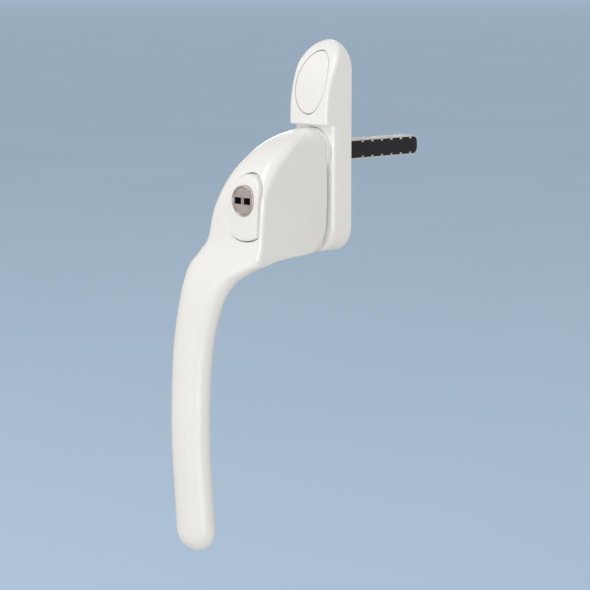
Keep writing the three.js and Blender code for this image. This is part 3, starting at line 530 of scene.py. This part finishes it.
def oval_tool(grow, floor_inset):
    """The cover's pocket: an oval prism whose floor follows the block's curved face."""
    bm = bmesh.new()
    outer, floor = [], []
    for i in range(96):
        angle = TURN * i / 96
        x = (CAP_HALF_WIDTH + grow) * math.cos(angle)
        z = CAP_CENTRE + (CAP_HALF_HEIGHT + grow) * math.sin(angle)
        outer.append((x, BLOCK_FRONT - 8, z))
        floor.append((x, cover_face(z) + floor_inset, z))
    rings = [outer, floor]
    for share in (0.75, 0.5, 0.25):
        ring = []
        for x, _, z in floor:
            inner_z = CAP_CENTRE + (z - CAP_CENTRE) * share
            ring.append((x * share, cover_face(inner_z) + floor_inset, inner_z))
        rings.append(ring)
    verts = grid(bm, rings)
    fan(bm, verts[-1], (0, cover_face(CAP_CENTRE) + floor_inset, CAP_CENTRE))
    bm.faces.new(list(reversed(verts[0])))
    return new_object("oval_tool", bm)


def hole_tool(x, z, profile, sides=64):
    """A round tool along Y from (radius, y) steps, closed on its axis."""
    bm = bmesh.new()
    verts = grid(bm, [circle_points(radius, y, x, z, sides) for radius, y in profile])
    fan(bm, verts[0], (x, profile[0][1], z))
    fan(bm, verts[-1], (x, profile[-1][1], z))
    return new_object("hole_tool", bm)


def make_backplate(coat):
    bm = bmesh.new()
    first = grid(bm, plate_rows())[0]
    half = len(first) // 2
    for k in range(half - 1):
        bm.faces.new((first[k], first[k + 1], first[-2 - k], first[-1 - k]))
    for vert in bm.verts:
        vert.co.x *= 1 + PLATE_DRAFT * vert.co.y / PLATE_HALF_WIDTH
    plate = new_object("backplate_shell", bm)
    collar_bore = COLLAR_RADIUS + COLLAR_GAP
    hub_recess = [
        (collar_bore, -20), (collar_bore, COLLAR_BACK), (DISC_BORE, COLLAR_BACK), (DISC_BORE, DISC_BACK),
        (HUB_BORE, DISC_BACK), (HUB_BORE, RING_POCKET_FLOOR),
        (RING_POCKET_RADIUS, RING_POCKET_FLOOR), (RING_POCKET_RADIUS, 1),
    ]
    pin_hole = [(LOCK_PIN_HOLE_RADIUS, -12), (LOCK_PIN_HOLE_RADIUS, LOCK_PIN_HOLE_BACK)]
    tools = [
        oval_tool(CAP_GROOVE, CAP_THICKNESS + CAP_ROOM),
        hole_tool(0, 0, hub_recess, 96),
        hole_tool(0, LOCK_PIN_Z, pin_hole, 40),
    ]
    for z in (FIXING_OFFSET, -FIXING_OFFSET):
        face = cover_face(z) + CAP_THICKNESS + CAP_ROOM if z > 0 else PLATE_FRONT
        head = face + FIXING_HEAD_RECESS
        neck = head + FIXING_HEAD_RADIUS - FIXING_RADIUS
        profile = [(FIXING_HEAD_RADIUS, face - 3), (FIXING_HEAD_RADIUS, head), (FIXING_RADIUS, neck)]
        tools.append(hole_tool(0, z, profile + [(FIXING_RADIUS, 1)]))
    width, thickness, length = CAP_LEG_SIZE
    for z in CAP_LEG_HEIGHTS:
        back = cover_face(z) + CAP_THICKNESS + length + CAP_ROOM
        half_width = width / 2 + CAP_ROOM
        half_height = thickness / 2 + CAP_ROOM
        low = (-half_width, back - 6, z - half_height)
        tools.append(box_object("slot_tool", low, (half_width, back, z + half_height)))
    carve(plate, tools)
    give(plate, coat)
    place(plate, "backplate", "white_coat", "backplate")


def make_cover_cap(plastic):
    """The oval cover, flush with the block's face, with a softly rounded edge and two clip legs."""
    bm = bmesh.new()
    rings = []

    def ring(scale, shrink, drop):
        points = []
        for i in range(120):
            angle = TURN * i / 120
            x = (CAP_HALF_WIDTH - shrink) * scale * math.cos(angle)
            z = CAP_CENTRE + (CAP_HALF_HEIGHT - shrink) * scale * math.sin(angle)
            points.append((x, cover_face(z) + drop, z))
        return points

    for share in (0.08, 0.25, 0.45, 0.65, 0.82, 0.93):
        rings.append(ring(share, CAP_EDGE, 0.0))
    for a in spread(0, 90, 6):
        angle = math.radians(a)
        rings.append(ring(1.0, CAP_EDGE * (1 - math.sin(angle)), CAP_EDGE * (1 - math.cos(angle))))
    rings.append(ring(1.0, 0.0, CAP_THICKNESS))
    for share in (0.6, 0.2):
        rings.append(ring(share, 0.0, CAP_THICKNESS))
    verts = grid(bm, rings)
    fan(bm, verts[0], (0, cover_face(CAP_CENTRE), CAP_CENTRE))
    fan(bm, verts[-1], (0, cover_face(CAP_CENTRE) + CAP_THICKNESS, CAP_CENTRE))
    cap = new_object("cover_cap_shell", bm)
    width, thickness, length = CAP_LEG_SIZE
    legs = []
    for z in CAP_LEG_HEIGHTS:
        root = cover_face(z) + CAP_THICKNESS * 0.6
        end = cover_face(z) + CAP_THICKNESS + length
        low = (-width / 2, root, z - thickness / 2)
        legs.append(box_object("leg", low, (width / 2, end, z + thickness / 2)))
    carve(cap, legs, "UNION")
    give(cap, plastic)
    place(cap, "cover_cap", "white_plastic", "cover_cap")


# ---------- lever ----------

def smooth_curve(knots):
    """A smooth curve through (height, value) knots, highest first, that never overshoots them."""
    z = [knot[0] for knot in knots]
    v = [knot[1] for knot in knots]
    slope = [(v[i + 1] - v[i]) / (z[i + 1] - z[i]) for i in range(len(z) - 1)]
    tangent = [slope[0]]
    for before, after in zip(slope, slope[1:]):
        product = before * after
        tangent.append(2 * product / (before + after) if product > 0 else 0.0)
    tangent.append(slope[-1])

    def value(height):
        if height >= z[0]:
            return v[0]
        i = 0
        while i < len(z) - 2 and height < z[i + 1]:
            i += 1
        span = z[i + 1] - z[i]
        t = min(1.0, (height - z[i]) / span)
        a = (1 + 2 * t) * (1 - t) ** 2
        b = t * (1 - t) ** 2
        c = t * t * (3 - 2 * t)
        d = t * t * (t - 1)
        return a * v[i] + b * span * tangent[i] + c * v[i + 1] + d * span * tangent[i + 1]
    return value


left_flare = smooth_curve([
    (HOOD_RADIUS, 0), (5, 0.1), (0, 1.3), (-5, 3.7), (-12, 6.4), (-20, 9.9), (-30, 12.8), (-34, 15.8),
    (-38, 18.7), (-44, 19.9), (-56, 21.2), (-70, 22.4), (-98, 23), (-132, 21.6),
])
right_edge = smooth_curve([
    (0, HOOD_RADIUS), (-16, 8.9), (-22, 8.6), (-28, 8.2), (-34, 8.1), (-36.5, 7.3), (-39, 3.2), (-43, -3.2),
    (-48, -7.4), (-56, -10.6), (-66, -12.9), (-82, -14.3), (-100, -14.6), (-132, -12.9),
])
lower_front = smooth_curve([
    (HOOD_FULL_DEPTH_Z, HOOD_BASE + HOOD_REACH), (-28, 41.6), (-34, 42.9), (-42, 45.8), (-50, 48),
    (-60, 49.5), (-76, 50.5), (-96, 50.79), (-133, 50),
])
back_edge = smooth_curve([
    (-33.6, HOOD_BASE), (-34.4, 11.5), (-34.9, 19), (-35.7, 28), (-37, 34), (-39, 36.8), (-43, 38.6),
    (-50, 39.7), (-64, 40.5), (-96, 41), (-133, 40.4),
])
front_left_x = smooth_curve([(HOOD_RADIUS, 4), (0, 6), (-10, 5), (-22, 4.5), (-30, 5), (-38, 7), (-50, 8.5)])
front_left_y = smooth_curve([(HOOD_RADIUS, 4), (0, 6), (-10, 5), (-22, 4.5), (-30, 5), (-60, 4.6)])
front_right_x = smooth_curve([
    (HOOD_RADIUS, 4), (0, 5), (-9, 3.2), (-12, 2.3), (-15, 1.9), (-28, 1.7), (-31, 2.0), (-34, 2.6),
    (-38, 5), (-50, 6.5),
])
front_right_y = smooth_curve([
    (HOOD_RADIUS, 4), (0, 5), (-9, 3.2), (-12, 2.3), (-15, 1.9), (-28, 1.7), (-31, 2.0), (-34, 2.6),
    (-60, 4.6),
])
back_right_x = smooth_curve([(-27, 0.6), (-32, 2.4), (-35, 6), (-50, 8.5)])
back_right_y = smooth_curve([(-27, 0.6), (-32, 6), (-34.6, 10), (-36.5, 5), (-39, 4), (-60, 4.9)])
back_left_x = smooth_curve([
    (HOOD_RADIUS, 0.6), (5, 0.8), (0, 3), (-5, 5.8), (-10, 8.6), (-20, 10.6), (-32, 13), (-36, 14),
    (-46, 8.5),
])
back_left_y = smooth_curve([
    (HOOD_RADIUS, 0.6), (5, 3), (0, 14), (-20, 24), (-32, 20), (-36, 10), (-40, 5), (-60, 4.9),
])


def hood_front(z):
    if z <= HOOD_FULL_DEPTH_Z:
        return lower_front(z)
    t = (z - HOOD_FULL_DEPTH_Z) / (HOOD_RADIUS - HOOD_FULL_DEPTH_Z)
    return HOOD_BASE + HOOD_REACH * (1 - t ** HOOD_BULGE) ** (1 / HOOD_BULGE)


def handle_limits(z):
    """Left, right, front and back of the handle at height z."""
    half_width = math.sqrt(max(0.0, HOOD_RADIUS ** 2 - z ** 2)) if z > 0 else HOOD_RADIUS
    right = half_width if z > 0 else right_edge(z)
    return -half_width - left_flare(z), right, -hood_front(z), -back_edge(z)


def corner_sizes(z):
    """Reach in X and Y of the corner arcs: back right, back left, front left, front right."""
    left, right, front, back = handle_limits(z)
    half_x = (right - left) / 2 * 0.999
    half_y = (back - front) / 2 * 0.999
    deep = max(0.3, min(back_left_y(z), 2 * half_y - front_left_y(z) - 0.5))
    return [
        (min(back_right_x(z), half_x), min(back_right_y(z), half_y)),
        (min(back_left_x(z), 2 * half_x - 1), deep),
        (min(front_left_x(z), half_x), min(front_left_y(z), half_y)),
        (min(front_right_x(z), half_x), min(front_right_y(z), half_y)),
    ]


def handle_section(z, shrink, segments):
    shape_z = max(z, TIP_START)
    left, right, front, back = handle_limits(shape_z)
    outermost = [(right, back, 1, 1), (left, back, -1, 1), (left, front, -1, -1), (right, front, 1, -1)]
    middle = Vector(((left + right) / 2, (front + back) / 2, z))
    points = []
    for index, ((x, y, side_x, side_y), (rx, ry)) in enumerate(zip(outermost, corner_sizes(shape_z))):
        for step in range(segments + 1):
            angle = math.pi / 2 * (index + step / segments)
            point_x = x - side_x * rx + rx * math.cos(angle)
            point_y = y - side_y * ry + ry * math.sin(angle)
            points.append(middle.lerp(Vector((point_x, point_y, z)), shrink))
    return points


def handle_heights():
    """(height, share of the full section) from the hood's top to the grip's rounded tip."""
    heights = [((HOOD_RADIUS - 0.004) * math.cos(math.radians(a)), 1.0) for a in spread(0, 90, 26)]
    bands = [(-0.7, -32, 44), (-32.3, -40, 34), (-40.7, -62, 30), (-64, TIP_START + 1.5, 34)]
    for highest, lowest, count in bands:
        heights += [(z, 1.0) for z in spread(highest, lowest, count)]
    for a in spread(0, 89.5, 22):
        angle = math.radians(a)
        heights.append((TIP_START + (TIP_END - TIP_START) * math.sin(angle), math.cos(angle)))
    return heights


def front_surface(x, z):
    """Y of the hood's front at x and z, including the rounding of its two front corners."""
    left, right, front, _ = handle_limits(z)
    _, _, (lx, ly), (rx, ry) = corner_sizes(z)
    if x > right - rx:
        out = min(1.0, (x - right + rx) / rx)
        return front + ry * (1 - math.sqrt(1 - out ** 2))
    if x < left + lx:
        out = min(1.0, (left + lx - x) / lx)
        return front + ly * (1 - math.sqrt(1 - out ** 2))
    return front


def button_outline(grow):
    """Points round the push button: round top, tapering sides, and a shallow arc between corners."""
    radius = BUTTON_RADIUS + grow
    shoulder = BUTTON_TOP - BUTTON_RADIUS
    corner = BUTTON_CORNER + grow
    foot_z = BUTTON_BOTTOM + BUTTON_FOOT_RADIUS
    reach = BUTTON_FOOT_RADIUS - BUTTON_CORNER
    corner_x = BUTTON_FOOT_HALF_WIDTH - BUTTON_CORNER
    lean = math.asin(corner_x / reach)
    corner_z = foot_z - reach * math.cos(lean)
    from_left = 1.5 * math.pi - lean
    to_right = 1.5 * math.pi + lean

    def arc(x, z, size, start, end, count):
        return [(x + size * math.cos(a), z + size * math.sin(a)) for a in spread(start, end, count)]

    def side(start, end):
        """Points along a straight side, without its two ends."""
        (x0, z0), (x1, z1) = start, end
        return [(x0 + (x1 - x0) * t, z0 + (z1 - z0) * t) for t in spread(0, 1, 28)[1:-1]]

    top = arc(0, shoulder, radius, 0, math.pi, 73)
    left = arc(-corner_x, corner_z, corner, math.pi, from_left, 11)
    foot = arc(0, foot_z, BUTTON_FOOT_RADIUS + grow, from_left, to_right, 30)[1:-1]
    right = arc(corner_x, corner_z, corner, to_right, TURN, 11)
    return top + side(top[-1], left[0]) + left + foot + right + side(right[-1], top[0])


def pocket_tool(grow):
    bm = bmesh.new()
    outline = button_outline(grow)
    verts = grid(bm, [[(x, y, z) for x, z in outline] for y in (-60.0, POCKET_BACK)])
    bm.faces.new(list(reversed(verts[0])))
    bm.faces.new(verts[1])
    return new_object("pocket_tool", bm)


def make_pocket_rim(coat):
    """The rounded mouth and the walls of the button's pocket, as one closed ring set into the hood."""
    outer = button_outline(POCKET_GAP + POCKET_RIM)
    rows = [[(x, POCKET_BACK, z) for x, z in outer], [(x, front_surface(x, z), z) for x, z in outer]]
    for a in spread(12, 90, 7):
        out = POCKET_RIM * (1 - math.sin(math.radians(a)))
        down = POCKET_RIM * (1 - math.cos(math.radians(a)))
        inset = button_outline(POCKET_GAP + out)
        rows.append([(x, front_surface(*edge) + down, z) for (x, z), edge in zip(inset, outer)])
    rows.append([(x, POCKET_BACK, z) for x, z in button_outline(POCKET_GAP)])
    rows.append(rows[0])
    bm = bmesh.new()
    grid(bm, rows)
    rim = new_object("pocket_rim", bm)
    give(rim, coat)
    place(rim, "lever", "white_coat")


def socket_tool(front, back):
    """The square hole that holds the spindle."""
    half = SPINDLE_HALF + SPINDLE_SOCKET_GAP
    return box_object("square_tool", (-half, front, -half), (half, back, half))


def make_lever(coat):
    sections = [handle_section(z, shrink, 16) for z, shrink in handle_heights()]
    bm = bmesh.new()
    verts = grid(bm, sections)
    bm.faces.new(verts[0])
    bm.faces.new(list(reversed(verts[-1])))
    lever = new_object("lever_shell", bm)
    bush_steps = [(LOCK_PIN_BUSH_RADIUS, POCKET_BACK - 3), (LOCK_PIN_BUSH_RADIUS, -5)]
    bush_bore = hole_tool(0, LOCK_PIN_Z, bush_steps, 48)
    square = socket_tool(SPINDLE_ROOT - SPINDLE_SOCKET_GAP, 0)
    carve(lever, [pocket_tool(POCKET_GAP + POCKET_RIM), bush_bore, square])
    give(lever, coat)
    place(lever, "lever", "white_coat", "lever_handle")
    make_pocket_rim(coat)
    make_hub(coat)


def make_hub(coat):
    """The lever's collar and stub shaft, turned, with the groove for its retaining ring."""
    front = -HOOD_BASE - 1
    profile = [
        (HUB_CORE, front), (COLLAR_NECK_RADIUS, front), (COLLAR_NECK_RADIUS, COLLAR_FRONT),
        (COLLAR_RADIUS - COLLAR_EDGE, COLLAR_FRONT), (COLLAR_RADIUS, COLLAR_FRONT + COLLAR_EDGE),
        (COLLAR_RADIUS, COLLAR_BACK - COLLAR_EDGE), (COLLAR_RADIUS - COLLAR_EDGE, COLLAR_BACK),
        (HUB_RADIUS, COLLAR_BACK), (HUB_RADIUS, RING_GROOVE_FRONT),
        (RING_GROOVE_RADIUS, RING_GROOVE_FRONT), (RING_GROOVE_RADIUS, RING_GROOVE_BACK),
        (HUB_RADIUS, RING_GROOVE_BACK), (HUB_RADIUS, HUB_BACK - HUB_CHAMFER_LONG),
        (HUB_RADIUS - HUB_CHAMFER_OUT, HUB_BACK), (HUB_CORE, HUB_BACK),
    ]
    hub = lathe("lever_hub", profile)
    carve(hub, [socket_tool(-30, 5)])
    give(hub, coat)
    place(hub, "lever", "white_coat")


# ---------- spindle ----------

def make_spindle(black, bright):
    """The notched square bar: black faces, bright cut notches, corner edges painted pale as a highlight, and
    a domed end.
    """
    half = SPINDLE_HALF
    side = half - SPINDLE_CHAMFER
    corners = [
        (half, -side), (half, side), (side, half), (-side, half),
        (-half, side), (-half, -side), (-side, -half), (side, -half),
    ]
    dome_start = SPINDLE_TIP - SPINDLE_DOME
    stations = [(SPINDLE_ROOT, 1.0), (0.0, 1.0)] + [(y, 1.0) for y in spread(2, dome_start, 12)]
    for a in spread(10, 84, 9):
        angle = math.radians(a)
        stations.append((dome_start + SPINDLE_DOME * math.sin(angle), math.cos(angle)))
    rows = []
    for y, height in stations:
        width = 1 - SPINDLE_DOME_NARROWING * (1 - height)
        rows.append([(x * width, y, z * height) for x, z in corners])
    bm = bmesh.new()
    verts = grid(bm, rows)
    bm.faces.new(verts[0])
    bm.faces.new(list(reversed(verts[-1])))
    spindle = new_object("spindle_bar", bm, 25)
    give(spindle, black, bright)
    tools = []
    for i in range(NOTCH_COUNT):
        y = NOTCH_FIRST + i * NOTCH_PITCH
        for sign in (-1, 1):
            near = sign * (half - NOTCH_DEPTH)
            far = sign * (half + 1)
            low = (-half - 1, y - NOTCH_WIDTH / 2, min(near, far))
            high = (half + 1, y + NOTCH_WIDTH / 2, max(near, far))
            tool = box_object("notch_tool", low, high)
            give(tool, bright)
            tools.append(tool)
    carve(spindle, tools, smooth_angle=25)
    paint_bright_faces(spindle)
    place(spindle, "lever", "black_steel", "spindle")


def paint_bright_faces(spindle):
    """Gives the notches their bright cut-metal colour and the corner chamfers the same pale colour as a
    painted highlight, and all other faces the black one.
    """
    limit = SPINDLE_HALF - INSIDE_ALLOWANCE
    for face in spindle.data.polygons:
        normal = face.normal
        centre = face.center / MM
        # Slanted faces are the corner chamfers, painted pale as a highlight; inside faces are the cut
        # notches.
        slanted = abs(normal.x) > SLANTED and abs(normal.z) > SLANTED
        inside = abs(centre.x) < limit and abs(centre.z) < limit and abs(normal.x) < SLANTED
        notch = inside and centre.y < SPINDLE_TIP - 2
        face.material_index = 1 if slanted or notch else 0


# ---------- button, cylinder and plug ----------

def button_face(z):
    """Y of the button's face: flat, bending back near its top as a quadratic curve."""
    if z <= BUTTON_BEND:
        return BUTTON_FRONT
    share = (z - BUTTON_BEND) / (BUTTON_TOP - BUTTON_BEND)
    return BUTTON_FRONT + BUTTON_TOP_SETBACK * share ** 2


def make_button(plastic):
    """The white push button: a rounded pad with the lock cylinder's bore through it."""
    outline = button_outline(0.0)
    bore = BARREL_RADIUS + BARREL_GAP
    mouth = bore + BORE_EDGE
    circle = []
    for x, z in outline:
        angle = math.atan2(z - BARREL_Z, x)
        circle.append((math.cos(angle), math.sin(angle)))
    rows = [[(x, BUTTON_BACK, z) for x, z in outline]]
    for a in spread(0, 90, 8):
        out = BUTTON_EDGE * (1 - math.cos(math.radians(a)))
        down = BUTTON_EDGE * (1 - math.sin(math.radians(a)))
        rows.append([(x, button_face(z) + down, z) for x, z in button_outline(-out)])
    inner_edge = rows[-1]
    for share in (0.2, 0.4, 0.6, 0.8, 0.95):
        row = []
        for (x, _, z), (cx, cz) in zip(inner_edge, circle):
            px = x + (mouth * cx - x) * share
            pz = z + (BARREL_Z + mouth * cz - z) * share
            row.append((px, button_face(pz), pz))
        rows.append(row)
    for grow, down in ((BORE_EDGE, 0.0), (BORE_EDGE_MIDDLE, BORE_EDGE_MIDDLE), (0.0, BORE_EDGE)):
        row = []
        for cx, cz in circle:
            z = BARREL_Z + (bore + grow) * cz
            row.append(((bore + grow) * cx, button_face(z) + down, z))
        rows.append(row)
    rows.append([(bore * cx, BUTTON_BACK, BARREL_Z + bore * cz) for cx, cz in circle])
    rows.append(rows[0])
    bm = bmesh.new()
    grid(bm, rows)
    button = new_object("push_button", bm, 40)
    give(button, plastic)
    place(button, "lock_button", "white_plastic", "lock_button")


def make_cylinder(nickel):
    """The lock barrel's turned body, with a slim flat rim standing just proud of the plug."""
    bore = PLUG_RADIUS + PLUG_GAP
    profile = []
    for a in spread(0, 90, 5):
        angle = math.radians(a)
        inset = CYLINDER_RIM * (1 - math.cos(angle))
        profile.append((BARREL_RADIUS - inset, BARREL_FRONT + CYLINDER_RIM * (1 - math.sin(angle))))
    for a in spread(90, 0, 5):
        angle = math.radians(a)
        inset = CYLINDER_RIM * (1 - math.cos(angle))
        profile.append((bore + inset, BARREL_FRONT + CYLINDER_RIM * (1 - math.sin(angle))))
    profile += [(bore, BARREL_BACK - 1), (BARREL_BACK_HOLE, BARREL_BACK - 1)]
    profile += [(BARREL_BACK_HOLE, BARREL_BACK), (BARREL_RADIUS - BARREL_CHAMFER, BARREL_BACK)]
    profile += [(BARREL_RADIUS, BARREL_BACK - BARREL_CHAMFER)]
    body = lathe("cylinder_shell", profile, z=BARREL_Z, sides=128)
    give(body, nickel)
    place(body, "lock_button", "satin_nickel", "cylinder_body")


def make_plug(nickel, dark):
    """The key plug: a turned disc with two keyway slots each side of a slim central rib."""
    bend = PLUG_EDGE * 0.3
    profile = [(PLUG_RADIUS * share, PLUG_FRONT) for share in (0.1, 0.4, 0.7, 0.9)]
    profile += [(PLUG_RADIUS - PLUG_EDGE, PLUG_FRONT), (PLUG_RADIUS - bend, PLUG_FRONT + bend)]
    profile += [(PLUG_RADIUS, PLUG_FRONT + PLUG_EDGE), (PLUG_RADIUS, PLUG_BACK), (PLUG_BACK_HOLE, PLUG_BACK)]
    bm = bmesh.new()
    verts = grid(bm, [circle_points(radius, y, 0, BARREL_Z, 128) for radius, y in profile])
    fan(bm, verts[0], (0, PLUG_FRONT, BARREL_Z))
    fan(bm, verts[-1], (0, PLUG_BACK, BARREL_Z))
    plug = new_object("key_plug_shell", bm)
    give(plug, nickel, dark)
    # The slot and rib-line tools carry the near-black painted shade onto the walls they cut.
    tools = []
    half = KEY_SLOT_HEIGHT / 2
    for sign in (-1, 1):
        near = sign * KEY_RIB_WIDTH / 2
        far = sign * (KEY_RIB_WIDTH / 2 + KEY_SLOT_WIDTH)
        low = (min(near, far), PLUG_FRONT - 2, BARREL_Z - half)
        high = (max(near, far), KEY_SLOT_BACK, BARREL_Z + half)
        tool = box_object("key_slot_tool", low, high)
        give(tool, dark)
        tools.append(tool)
    for x in KEY_RIB_LINES:
        low = (x - KEY_RIB_LINE_WIDTH / 2, PLUG_FRONT - 2, BARREL_Z - half)
        high = (x + KEY_RIB_LINE_WIDTH / 2, PLUG_FRONT + KEY_RIB_LINE_DEPTH, BARREL_Z + half)
        tool = box_object("rib_line_tool", low, high)
        give(tool, dark)
        tools.append(tool)
    carve(plug, tools)
    place(plug, "key_plug", "satin_nickel", "key_plug")


def keyway_shadow():
    """Near-black walls inside the keyway: painted shade in its slots and rib lines."""
    g = Graph("keyway_painted_shade")
    g.colours(g.noise(1500, 2), (0.010, 0.009, 0.008), (0.022, 0.019, 0.017))
    g.roughness(g.noise(2400, 2), 0.55, 0.75)
    g.bump(g.noise(3000, 2), 0.01, 0.5)
    g.set(Specular_IOR_Level=0.2)
    return g.material


# ---------- pieces seen from the back, and CAD nodes that stay ----------

def make_rear_rings(steel, zinc, nylon):
    bush = lathe("hub_bush_ring", ring_profile(*HUB_BUSH_RING))
    give(bush, nylon)
    place(bush, "backplate", "nylon", "hub_bush")
    washer = lathe("thrust_washer_ring", ring_profile(*THRUST_WASHER_RING))
    give(washer, zinc)
    place(washer, "lever", "zinc_steel", "thrust_washer")
    ring = lathe("retaining_ring_clip", ring_profile(*RETAINING_RING))
    gap = box_object("gap_tool", (-RETAINING_GAP_HALF_WIDTH, -5, 0), (RETAINING_GAP_HALF_WIDTH, 5, 20))
    carve(ring, [gap])
    give(ring, steel)
    place(ring, "lever", "spring_steel", "retaining_ring")


def finish_cad_nodes(materials):
    """Every CAD node that still shows gets the procedural finish of its material slot."""
    for entry in frame["record"]["subparts"]:
        node = frame["nodes"][entry["node"]]
        material = materials[entry["material_slot"]]
        for index in range(len(node.material_slots)):
            node.material_slots[index].link = "OBJECT"
            node.material_slots[index].material = material


# ---------- studio ----------

FOCAL_PIXELS = 2100.0
FRAME_PIXELS = 590.0
CAMERA_AIM = Vector((-3.2, -14.1, -50.4)) * MM
CAMERA_DISTANCE = 0.74        # m
CAMERA_AZIMUTH = 45.4
CAMERA_ELEVATION = 8.6
FLOOR_RADIUS = 60000.0
FLOOR_Z = -260.0


def make_camera():
    data = bpy.data.cameras.new("camera")
    data.sensor_width = 36.0
    data.lens = data.sensor_width * FOCAL_PIXELS / FRAME_PIXELS
    data.clip_start = 0.01
    camera = bpy.data.objects.new("camera", data)
    bpy.context.scene.collection.objects.link(camera)
    azimuth = math.radians(CAMERA_AZIMUTH)
    elevation = math.radians(CAMERA_ELEVATION)
    towards = Vector((
        math.sin(azimuth) * math.cos(elevation),
        -math.cos(azimuth) * math.cos(elevation),
        math.sin(elevation),
    ))
    camera.location = CAMERA_AIM + towards * CAMERA_DISTANCE
    camera.rotation_euler = (-towards).to_track_quat("-Z", "Y").to_euler()
    bpy.context.scene.camera = camera


def make_floor():
    bm = bmesh.new()
    bmesh.ops.create_circle(bm, cap_ends=True, segments=64, radius=FLOOR_RADIUS)
    bmesh.ops.translate(bm, vec=(0, 0, FLOOR_Z), verts=bm.verts)
    floor = new_object("studio_floor", bm)
    give(floor, floor_material())
    floor.visible_diffuse = False
    floor.visible_glossy = False


def softbox(name, at, size, power):
    """A round area light; its place and its size are in m."""
    data = bpy.data.lights.new(name, "AREA")
    data.shape = "DISK"
    data.size = size
    data.energy = power
    light = bpy.data.objects.new(name, data)
    bpy.context.scene.collection.objects.link(light)
    light.location = at
    aim = CAMERA_AIM - Vector(at)
    light.rotation_euler = aim.to_track_quat("-Z", "Y").to_euler()


def make_world():
    world = bpy.data.worlds.new("studio")
    world.use_nodes = True
    background = world.node_tree.nodes["Background"]
    background.inputs["Color"].default_value = (1.0, 0.985, 0.965, 1)
    background.inputs["Strength"].default_value = 0.55
    bpy.context.scene.world = world
    bpy.context.scene.view_settings.view_transform = "Standard"


def make_lights():
    """Key and fill stand in front; the rim light is far off behind, so that it lights the floor evenly."""
    softbox("key", (-0.65, -1.15, 1.35), 0.9, 11.5)
    softbox("fill", (1.0, -1.2, -0.15), 1.1, 13.0)
    softbox("rim", (-44.0, 48.0, 12.0), 40.0, 8000.0)


# ---------- build ----------

coat = white_coat()
plastic = white_plastic()
nickel = satin_nickel()
black = black_oxide()
bright = cut_metal_and_edge_highlight()
spring = bare_steel("spring_steel", (0.38, 0.38, 0.39), (0.50, 0.50, 0.51), (0.22, 0.34))
zinc = bare_steel("zinc_steel", (0.58, 0.60, 0.61), (0.70, 0.72, 0.74), (0.25, 0.38))
brass = bare_steel("brass", (0.62, 0.44, 0.17), (0.74, 0.55, 0.24), (0.26, 0.40))
nylon = moulded_nylon()

make_backplate(coat)
make_cover_cap(plastic)
make_lever(coat)
make_spindle(black, bright)
make_button(plastic)
make_cylinder(nickel)
make_plug(nickel, keyway_shadow())
make_rear_rings(spring, zinc, nylon)
finish_cad_nodes({
    "white_coat": coat, "white_plastic": plastic, "satin_nickel": nickel, "black_steel": black,
    "spring_steel": spring, "zinc_steel": zinc, "brass": brass, "nylon": nylon,
})

make_camera()
make_floor()
make_world()
make_lights()
